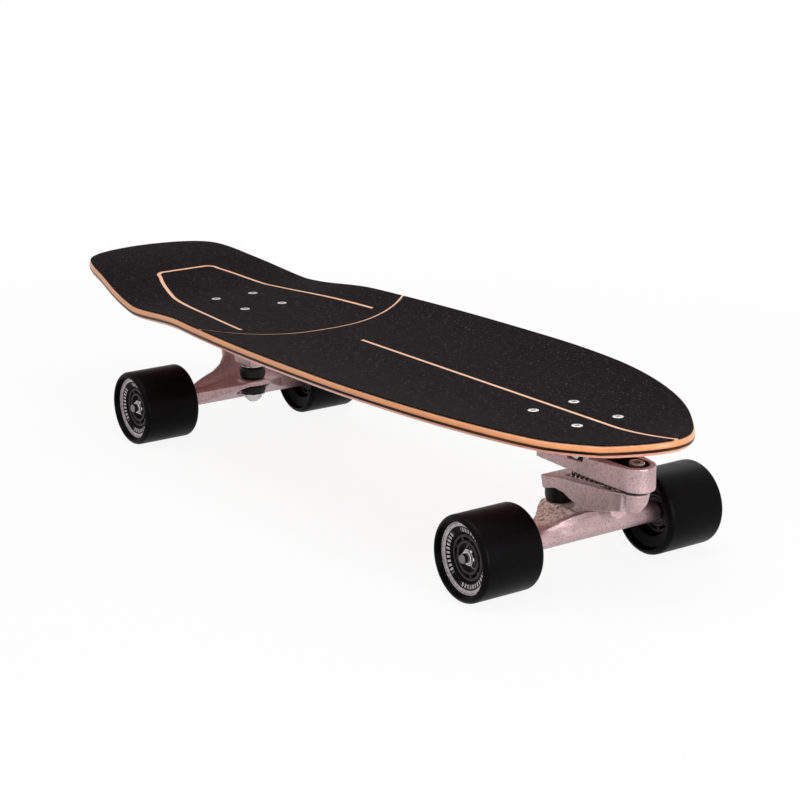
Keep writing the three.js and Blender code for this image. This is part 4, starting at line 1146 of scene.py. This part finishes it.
def spring_points():
    """The spring's middle line: straight at both ends, wound between them."""
    steps = SPRING_CURLS * SPRING_CURL_STEPS
    start = SPRING_START + SPRING_WIRE
    winding = SPRING_END - SPRING_START - 2 * SPRING_WIRE
    points = []
    for i in range(steps + 1):
        angle = 2 * math.pi * SPRING_CURLS * i / steps
        points.append(Vector((start + winding * i / steps, SPRING_RADIUS * math.cos(angle),
                              SPRING_HEIGHT + SPRING_RADIUS * math.sin(angle))))
    first, last = points[0].copy(), points[-1].copy()
    first.z -= 2 * SPRING_WIRE
    last.z += 2 * SPRING_WIRE
    return [first] + points + [last]


def make_spring():
    path = spring_points()
    turns = [2 * math.pi * j / SPRING_SIDES for j in range(SPRING_SIDES)]
    rings = []
    for i, point in enumerate(path):
        along = (path[min(i + 1, len(path) - 1)] - path[max(i - 1, 0)]).normalized()
        across = Vector((1, 0, 0)).cross(along).normalized()
        up = along.cross(across)
        rings.append([point + (across * math.cos(t) + up * math.sin(t)) * SPRING_WIRE * SPRING_WIRE_SHARE
                      for t in turns])
    spring = smooth(outward(loft("return_coil", rings)), 60)
    finish_piece(spring, plated_steel(), "swing_arm", ["return_spring"])


def make_plunger():
    """The headed pin inside the spring's end."""
    place = standing(PLUNGER_AT, 0, SPRING_HEIGHT) @ Matrix.Rotation(-math.pi / 2, 4, "Y")
    rim, pin, end = PLUNGER_RADIUS, PLUNGER_PIN_RADIUS, PLUNGER_LENGTH
    profile = [(0, 0), (rim - PLUNGER_EDGE, 0), (rim, PLUNGER_EDGE), (rim, PLUNGER_HEAD), (pin, PLUNGER_HEAD),
               (pin, end - PLUNGER_TIP), (pin - PLUNGER_TIP, end), (0, end)]
    plunger = turned("plunger_pin", profile, place, 48, closed=False)
    finish_piece(plunger, plated_steel(), "swing_arm", ["spring_plunger"])


def finish_piece(obj, material, body, nodes):
    """Gives a piece its one finish, unless it has its own, and fixes it to the frame."""
    if material is not None:
        obj.data.materials.clear()
        obj.data.materials.append(material)
    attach(obj, body)
    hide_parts(*nodes)


# Materials

def fed(made, inputs):
    """Puts links or values on a node's inputs."""
    for name, value in inputs.items():
        if isinstance(value, bpy.types.NodeSocket):
            made.id_data.links.new(value, made.inputs[name])
        else:
            made.inputs[name].default_value = value
    return made


def node(tree, kind, inputs=None, **settings):
    """Adds a node, with its settings and with values or links on its inputs."""
    made = tree.nodes.new(kind)
    for name, value in settings.items():
        setattr(made, name, value)
    return fed(made, inputs or {})


def tree_of(*values):
    """The node tree of the first value that is a socket."""
    return next(value.id_data for value in values if isinstance(value, bpy.types.NodeSocket))


def cleared_tree(owner):
    owner.use_nodes = True
    owner.node_tree.nodes.clear()
    return owner.node_tree


def blank_material(name):
    material = bpy.data.materials.new(name)
    tree = cleared_tree(material)
    end = tree.nodes.new("ShaderNodeOutputMaterial")
    surface = tree.nodes.new("ShaderNodeBsdfPrincipled")
    fed(end, {"Surface": surface.outputs[0]})
    return material, tree, surface


def coordinates(tree, scale=None):
    place = tree.nodes.new("ShaderNodeTexCoord").outputs["Object"]
    return node(tree, "ShaderNodeMapping", {"Vector": place, "Scale": scale}).outputs[0] if scale else place


def stored(tree, label):
    """A number that the mesh holds at every point."""
    return node(tree, "ShaderNodeAttribute", attribute_name=label).outputs["Fac"]


def noise(place, scale, detail=3.0, roughness=0.5):
    return node(tree_of(place), "ShaderNodeTexNoise", {
        "Vector": place, "Scale": scale, "Detail": detail, "Roughness": roughness}).outputs["Fac"]


def spread(value, low, high, to_low=0, to_high=1):
    """Maps a value from one range to another and keeps it inside."""
    return node(tree_of(value), "ShaderNodeMapRange", {
        "Value": value, "From Min": low, "From Max": high, "To Min": to_low, "To Max": to_high}).outputs[0]


def blended(share, first, second, mode="MIX"):
    """A colour between two colours."""
    mix = node(tree_of(share, first, second), "ShaderNodeMix", data_type="RGBA", blend_type=mode)
    ends = [value if isinstance(value, bpy.types.NodeSocket) else (*value, 1) for value in (first, second)]
    return fed(mix, {0: share, 6: ends[0], 7: ends[1]}).outputs[2]


def math_of(operation, first, second=0.0):
    tree = tree_of(first, second)
    return node(tree, "ShaderNodeMath", {0: first, 1: second}, operation=operation).outputs[0]


def product(first, *others):
    for other in others:
        first = math_of("MULTIPLY", first, other)
    return first


def vector_math(operation, first, second=(0, 0, 0)):
    return node(tree_of(first), "ShaderNodeVectorMath", {0: first, 1: second}, operation=operation).outputs


def parts_of(place):
    return node(tree_of(place), "ShaderNodeSeparateXYZ", {0: place}).outputs


def band(value, low, high, blur=PRINT_BLUR):
    """One between two values and zero outside them."""
    return product(spread(value, low - blur, low + blur), spread(value, high - blur, high + blur, 1, 0))


def bumped(surface, height, strength, distance=FINE_RELIEF):
    bump = node(tree_of(height), "ShaderNodeBump", {
        "Height": height, "Strength": strength, "Distance": distance})
    fed(surface, {"Normal": bump.outputs[0]})


def times(colour, factor):
    return tuple(part * factor for part in colour)


def colours():
    return bpy.context.scene.board_colours


def ply_wood():
    """Lacquered maple: honey plies over a dark one and pink ones in the edge, straight grain on the faces."""
    material, tree, surface = blank_material("lacquered ply")
    own = colours()
    height = stored(tree, "ply")
    grain = noise(coordinates(tree, (7, 330, 330)), 1.0, 4.0, 0.6)
    cloud = noise(coordinates(tree, (3, 30, 30)), 1.0, 2.0)
    bands = (
        (0.0, times(own.pink_ply, 1.15)), (0.16, times(own.pink_ply, 0.86)), (0.27, own.dark_ply),
        (0.51, times(own.honey, 0.78)), (0.6, own.honey), (0.88, times(own.face_ply, 1.05)),
    )
    plies = node(tree, "ShaderNodeValToRGB", {0: height})
    ramp = plies.color_ramp
    ramp.interpolation = "CONSTANT"
    ramp.elements.remove(ramp.elements[-1])
    ramp.elements[0].color = (*bands[0][1], 1)
    for start, shade in bands[1:]:
        ramp.elements.new(start).color = (*shade, 1)
    streaks = blended(spread(grain, 0.3, 0.7), (0.84, 0.84, 0.84), (1.08, 1.08, 1.08))
    face = blended(grain, times(own.face_ply, 0.8), times(own.face_ply, 1.12))
    colour = blended(1.0, plies.outputs[0], streaks, "MULTIPLY")
    colour = blended(spread(height, 0.97, 0.995), colour, face)
    colour = blended(spread(cloud, 0.35, 0.7, 0, 0.12), colour, times(own.honey, 0.7))
    dull = product(spread(height, 0.26, 0.28), spread(height, 0.5, 0.52, 1, 0))
    fed(surface, {
        "Base Color": colour,
        "Roughness": spread(grain, 0.3, 0.7, 0.34, 0.46),
        "Coat Weight": spread(dull, 0, 1, 0.2, 0.02),
        "Specular IOR Level": spread(dull, 0, 1, 0.5, 0.08),
        "Coat Roughness": 0.2,
    })
    bumped(surface, grain, 0.15)
    return material


def grip_tape(sizes):
    """Black abrasive tape: a fine mineral grain with a few grains that catch the light."""
    material, tree, surface = blank_material("grip tape")
    own = colours()
    place = coordinates(tree)
    grain = 1 / sizes.grit_size
    fine = noise(place, grain, 2.0, 0.7)
    coarse = noise(place, 26)
    mottle = noise(place, 260, 3.0, 0.7)
    cells = node(tree, "ShaderNodeTexVoronoi", {"Vector": place, "Scale": grain * 0.8}).outputs
    random = node(tree, "ShaderNodeSeparateColor", {0: cells["Color"]}).outputs[0]
    spark = product(math_of("GREATER_THAN", random, 0.965), spread(cells["Distance"], 0.15, 0.4, 1, 0), 0.9)
    colour = blended(spread(fine, 0.35, 0.68), times(own.grip, 0.45), times(own.grip, 1.5))
    colour = blended(spark, colour, (0.6, 0.55, 0.57))
    colour = blended(spread(coarse, 0.3, 0.7, 0, 0.25), colour, times(own.grip, 0.7))
    colour = blended(spread(mottle, 0.42, 0.58, 0, 0.75), colour, times(own.grip, 0.2))
    fed(surface, {
        "Base Color": colour,
        "Roughness": spread(fine, 0.3, 0.7, 0.95, 0.7),
        "Specular IOR Level": 0.04,
    })
    bumped(surface, fine, 0.6, GRAIN_RELIEF)
    return material


def recess_shade_share(place):
    """One inside the front boss's recess round the pivot bolt's head, where painted shade goes, and zero
    outside it.
    """
    along, across, height = parts_of(place)
    back = PIVOT_X - RECESS_BACK
    beyond = math_of("SUBTRACT", along, spread(along, back, PIVOT_X, back, PIVOT_X))
    reach = node(tree_of(place), "ShaderNodeCombineXYZ", {0: beyond, 1: across}).outputs[0]
    away = vector_math("LENGTH", reach)["Value"]
    inside = spread(away, RECESS_RADIUS, RECESS_RADIUS + RECESS_BLUR, 1, 0)
    return product(inside, spread(height, RECESS_FLOOR - RECESS_LIP, RECESS_FLOOR))


def burnish_and_sheen_share(place, burnish_and_sheen_at):
    """One over the hanger's hump round its kingpin, which is burnished and carries painted reflections, and
    zero away from it.
    """
    away = vector_math("DISTANCE", vector_math("MULTIPLY", place, (1, 1, 0))[0], (burnish_and_sheen_at, 0, 0))["Value"]
    return product(spread(away, BURNISH_AND_SHEEN_RADIUS, BURNISH_AND_SHEEN_FADE, 1, 0),
                   spread(parts_of(place)[0], burnish_and_sheen_at + BURNISH_AND_SHEEN_FRONT, burnish_and_sheen_at + BURNISH_AND_SHEEN_FRONT_FADE, 1, 0))


def cast_aluminium(name, burnish_and_sheen_at=None, recess_shaded=False):
    """Raw satin casting with a fine sand grain; where asked for, a burnished hump with painted reflections in
    its colour, or painted shade over the boss's recess.
    """
    material, tree, surface = blank_material(name)
    own = colours()
    place = coordinates(tree)
    cloud = noise(place, 40)
    sand = noise(place, 1300, 2.0, 0.7)
    pits = noise(place, 620, 2.0, 0.6)
    colour = blended(spread(cloud, 0.32, 0.68), times(own.cast, 0.84), times(own.cast, 1.1))
    colour = blended(spread(pits, 0.36, 0.46, 0.6, 0), colour, times(own.cast, 0.35))
    colour = blended(spread(sand, 0.5, 0.7, 0, 0.5), colour, times(own.cast, 0.5))
    rough = spread(cloud, 0.3, 0.7, 0.36, 0.5)
    metal = 0.55
    if burnish_and_sheen_at is not None:
        near = burnish_and_sheen_share(place, burnish_and_sheen_at)
        # Painted reflections: streaks from brown to near white in the hump's colour, made less metallic so
        # that they show; the lower roughness is the real burnish.
        reflection_streaks = noise(coordinates(tree, (300, 300, 60)), 1.0, 4.0, 0.6)
        painted_reflection = blended(spread(reflection_streaks, 0.36, 0.54), tint(160, 104, 88), tint(255, 250, 242))
        colour = blended(product(near, 0.95), colour, painted_reflection)
        rough = math_of("SUBTRACT", rough, product(near, 0.12))
        metal = math_of("SUBTRACT", metal, product(near, 0.5))
    if recess_shaded:
        # Painted shade: the boss's recess is darkened to the bushings' colour.
        colour = blended(recess_shade_share(place), colour, times(own.rubber, 0.7))
    fed(surface, {"Base Color": colour, "Roughness": rough, "Metallic": metal})
    bumped(surface, math_of("ADD", product(sand, 0.6), pits), 0.5, GRAIN_RELIEF)
    return material


def plated_steel(name="plated steel", shade=1.0):
    """Plated steel with faint turning marks, darker for the axles."""
    if name in bpy.data.materials:
        return bpy.data.materials[name]
    material, tree, surface = blank_material(name)
    steel = times(colours().steel, shade)
    marks = noise(coordinates(tree, (900, 900, 3500)), 1.0, 2.0)
    cloud = noise(coordinates(tree), 180)
    fed(surface, {
        "Base Color": blended(spread(cloud, 0.3, 0.7), times(steel, 0.82), steel),
        "Roughness": spread(marks, 0.3, 0.7, 0.2, 0.36),
        "Metallic": 1.0,
    })
    bumped(surface, marks, 0.08)
    return material


def shield_steel_and_shade():
    """Dark steel of the bearings' shields, also put as painted shade on the inboard bearing's rings and on
    the swing bearing.
    """
    name = "bearing shield"
    if name in bpy.data.materials:
        return bpy.data.materials[name]
    material, tree, surface = blank_material(name)
    fine = noise(coordinates(tree), 700, 2.0)
    fed(surface, {
        "Base Color": blended(fine, tint(38, 37, 40), tint(58, 56, 60)),
        "Roughness": spread(fine, 0.3, 0.7, 0.35, 0.5),
        "Metallic": 0.6,
    })
    bumped(surface, fine, 0.1)
    return material


def print_share(tree, sizes):
    """One on the outer face's printed ring and bars, and zero elsewhere."""
    radius = stored(tree, "radius")
    outside = math_of("GREATER_THAN", stored(tree, "height"), WHEEL_HALF - MOUTH[1])
    angle = math_of("ARCTAN2", stored(tree, "north"), stored(tree, "east"))
    turn = math_of("ADD", math_of("DIVIDE", angle, 2 * math.pi), PRINT_TURN)
    groove = band(radius, sizes.ring_outer - GROOVE_INNER, sizes.ring_outer - GROOVE_OUTER)
    uncut = math_of("SUBTRACT", 1.0, product(groove, 0.8))
    ring = product(band(radius, sizes.ring_inner, sizes.ring_outer), uncut)
    bars = band(math_of("FRACT", product(turn, BARS)), 0.2, 0.72, 0.05)
    groups = band(math_of("FRACT", product(turn, BAR_GROUPS)), 0.12, 0.88, 0.004)
    marks = product(bars, groups, band(radius, MARK_INNER, MARK_OUTER))
    return product(math_of("MAXIMUM", ring, marks), outside)


def wheel_urethane(sizes):
    """Black poured urethane with a silver ring and plain bars printed on the outer face."""
    material, tree, surface = blank_material("wheel urethane")
    own = colours()
    place = coordinates(tree)
    printed = print_share(tree, sizes)
    cloud = noise(place, 90)
    fleck = noise(place, 600, 3.0, 0.7)
    scuff = noise(coordinates(tree, (60, 600, 60)), 1.0)
    black = blended(spread(cloud, 0.3, 0.7), times(own.urethane, 0.7), times(own.urethane, 1.2))
    silver = blended(spread(fleck, 0.4, 0.6), times(own.print_silver, 0.6), times(own.print_silver, 1.1))
    fed(surface, {
        "Base Color": blended(printed, black, silver),
        "Metallic": product(printed, 0.7),
        "Roughness": math_of("ADD", spread(scuff, 0.3, 0.7, 0.34, 0.46), product(printed, 0.08)),
        "Specular IOR Level": 0.05,
    })
    bumped(surface, scuff, 0.05)
    return material


def plain_polymer(name, colour, rough_low, rough_high, grain):
    if name in bpy.data.materials:
        return bpy.data.materials[name]
    material, tree, surface = blank_material(name)
    fine = noise(coordinates(tree), grain)
    fed(surface, {
        "Base Color": blended(spread(fine, 0.38, 0.62), times(colour, 0.4), times(colour, 1.35)),
        "Roughness": spread(fine, 0.3, 0.7, rough_low, rough_high),
        "Specular IOR Level": 0.2,
    })
    bumped(surface, fine, 0.15)
    return material


def black_nylon():
    """Moulded black nylon with a slight sheen."""
    return plain_polymer("moulded nylon", tint(50, 45, 47), 0.34, 0.46, 450)


def bushing_rubber():
    """Cast black polyurethane of the bushings and cups."""
    return plain_polymer("bushing rubber", colours().rubber, 0.42, 0.55, 300)


def finish_cups():
    """Finishes the frame's own solids that stay in view: the pivot cups."""
    for name in ("front_pivot_cup", "rear_pivot_cup"):
        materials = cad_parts[name].data.materials
        materials.clear()
        materials.append(bushing_rubber())


# Studio

def seen_share(tree):
    """One for the rays of the camera, gloss and glass, and zero for the rest."""
    path = tree.nodes.new("ShaderNodeLightPath").outputs
    seen = math_of("MAXIMUM", path["Is Camera Ray"], path["Is Glossy Ray"])
    return math_of("MAXIMUM", seen, path["Is Transmission Ray"])


def make_world():
    """A backdrop that is white where it is seen and lights the board more softly."""
    world = bpy.data.worlds.new("studio")
    bpy.context.scene.world = world
    tree = cleared_tree(world)
    end = tree.nodes.new("ShaderNodeOutputWorld")
    strength = spread(seen_share(tree), 0, 1, WORLD_LIGHT, 1.0)
    light = node(tree, "ShaderNodeBackground", {"Color": (1, 1, 1, 1), "Strength": strength})
    fed(end, {"Surface": light.outputs[0]})


def floor_material():
    """White to the camera far out, and a pale floor that takes shadows near the board."""
    material = bpy.data.materials.new("pale floor")
    tree = cleared_tree(material)
    end = tree.nodes.new("ShaderNodeOutputMaterial")
    paint = node(tree, "ShaderNodeBsdfDiffuse", {"Color": (FLOOR_PAINT, FLOOR_PAINT, FLOOR_PAINT, 1)})
    glow = node(tree, "ShaderNodeEmission", {"Color": (1, 1, 1, 1), "Strength": 1.0})
    away = vector_math("LENGTH", coordinates(tree))["Value"]
    share = product(seen_share(tree), spread(away, FLOOR_NEAR, FLOOR_FAR, FLOOR_GLOW, 1.0))
    mix = node(tree, "ShaderNodeMixShader", {0: share, 1: paint.outputs[0], 2: glow.outputs[0]})
    fed(end, {"Surface": mix.outputs[0]})
    return material


def make_light(name, place, size, power):
    """A rectangular softbox turned toward the board."""
    data = bpy.data.lights.new(name, "AREA")
    data.shape = "RECTANGLE"
    data.size, data.size_y = size
    data.energy = power
    lamp = bpy.data.objects.new(name, data)
    lamp.location = place
    lamp.rotation_euler = (Vector(LIGHT_AIM) - Vector(place)).to_track_quat("-Z", "Y").to_euler()
    bpy.context.scene.collection.objects.link(lamp)


def make_camera():
    """The photo's camera, found from the deck bolts, the wheels and the ground."""
    azimuth, elevation, roll = (math.radians(a) for a in (CAMERA_AZIMUTH, CAMERA_ELEVATION, CAMERA_ROLL))
    level = math.cos(elevation)
    back = Vector((math.sin(azimuth) * level, -math.cos(azimuth) * level, math.sin(elevation)))
    aside = Vector((math.cos(azimuth), math.sin(azimuth), 0))
    upright = back.cross(aside)
    right = aside * math.cos(roll) + upright * math.sin(roll)
    up = upright * math.cos(roll) - aside * math.sin(roll)
    data = bpy.data.cameras.new("photo camera")
    data.sensor_width = CAMERA_SENSOR
    data.lens = CAMERA_LENS
    data.clip_start = CAMERA_NEAR
    camera = bpy.data.objects.new("photo camera", data)
    camera.matrix_world = Matrix.Translation(CAMERA_PLACE) @ Matrix((right, up, back)).transposed().to_4x4()
    bpy.context.scene.collection.objects.link(camera)
    bpy.context.scene.camera = camera


def make_stage():
    half = FLOOR_HALF
    corners = [(-half, -half, 0), (half, -half, 0), (half, half, 0), (-half, half, 0)]
    floor = mesh_object("floor", corners, [(0, 1, 2, 3)])
    floor.data.materials.append(floor_material())
    make_world()
    for name, place, size, power in SOFTBOXES:
        make_light(name, place, size, power)
    bpy.context.scene.view_settings.view_transform = "Standard"
    make_camera()


# Operators

class BOARD_OT_deck(bpy.types.Operator):
    """Builds the laminated deck."""

    bl_idname = "board.deck"
    bl_label = "Deck"

    def execute(self, context):
        make_deck(context.scene.board_sizes)
        return {"FINISHED"}


class BOARD_OT_grip(bpy.types.Operator):
    """Lays the three pieces of grip tape."""

    bl_idname = "board.grip"
    bl_label = "Grip tape"

    def execute(self, context):
        make_grip(context.scene.board_sizes)
        return {"FINISHED"}


class BOARD_OT_bolts(bpy.types.Operator):
    """Sets the deck bolts and lock nuts."""

    bl_idname = "board.bolts"
    bl_label = "Deck bolts"

    def execute(self, context):
        make_deck_bolts()
        return {"FINISHED"}


class BOARD_OT_wheels(bpy.types.Operator):
    """Builds the wheels, bearings, nuts and axles."""

    bl_idname = "board.wheels"
    bl_label = "Wheels and axles"

    def execute(self, context):
        make_wheels(context.scene.board_sizes)
        return {"FINISHED"}


class BOARD_OT_castings(bpy.types.Operator):
    """Finishes the bases, the swing arm and the hangers."""

    bl_idname = "board.castings"
    bl_label = "Castings"

    def execute(self, context):
        make_castings(context.scene.board_sizes)
        return {"FINISHED"}


class BOARD_OT_steering(bpy.types.Operator):
    """Builds bushings, washers, nuts and kingpins, and finishes the pivot cups."""

    bl_idname = "board.steering"
    bl_label = "Steering stack"

    def execute(self, context):
        make_steering()
        finish_cups()
        return {"FINISHED"}


class BOARD_OT_swing(bpy.types.Operator):
    """Builds the swing pivot's bolt and race, the spring and its plunger."""

    bl_idname = "board.swing"
    bl_label = "Swing pivot"

    def execute(self, context):
        make_swing_pivot()
        make_thrust_race()
        make_spring()
        make_plunger()
        return {"FINISHED"}


class BOARD_OT_stage(bpy.types.Operator):
    """Sets the floor, the lights and the camera."""

    bl_idname = "board.stage"
    bl_label = "Studio"

    def execute(self, context):
        make_stage()
        return {"FINISHED"}


OPERATORS = (
    BOARD_OT_deck, BOARD_OT_grip, BOARD_OT_bolts, BOARD_OT_wheels, BOARD_OT_castings, BOARD_OT_steering,
    BOARD_OT_swing, BOARD_OT_stage,
)


class BOARD_PT_panel(bpy.types.Panel):
    """Lists the board's builders and its settings."""

    bl_label = "Surf Skateboard"
    bl_idname = "BOARD_PT_panel"
    bl_space_type = "VIEW_3D"
    bl_region_type = "UI"
    bl_category = "Surf Skateboard"

    def draw(self, context):
        for group in (context.scene.board_sizes, context.scene.board_colours):
            for name in type(group).__annotations__:
                self.layout.prop(group, name)
        for operator in OPERATORS:
            self.layout.operator(operator.bl_idname)


CLASSES = (BoardSizes, BoardColours, *OPERATORS, BOARD_PT_panel)


def register():
    for cls in CLASSES:
        bpy.utils.register_class(cls)
    bpy.types.Scene.board_sizes = bpy.props.PointerProperty(type=BoardSizes)
    bpy.types.Scene.board_colours = bpy.props.PointerProperty(type=BoardColours)


def unregister():
    del bpy.types.Scene.board_colours
    del bpy.types.Scene.board_sizes
    for cls in reversed(CLASSES):
        bpy.utils.unregister_class(cls)


def plain(box):
    return [[float(value) for value in corner] for corner in box]


def main():
    register()
    bpy.ops.board.deck()
    bpy.ops.board.grip()
    bpy.ops.board.bolts()
    bpy.ops.board.wheels()
    bpy.ops.board.castings()
    bpy.ops.board.steering()
    bpy.ops.board.swing()
    bpy.ops.board.stage()


if __name__ == "__main__":
    main()
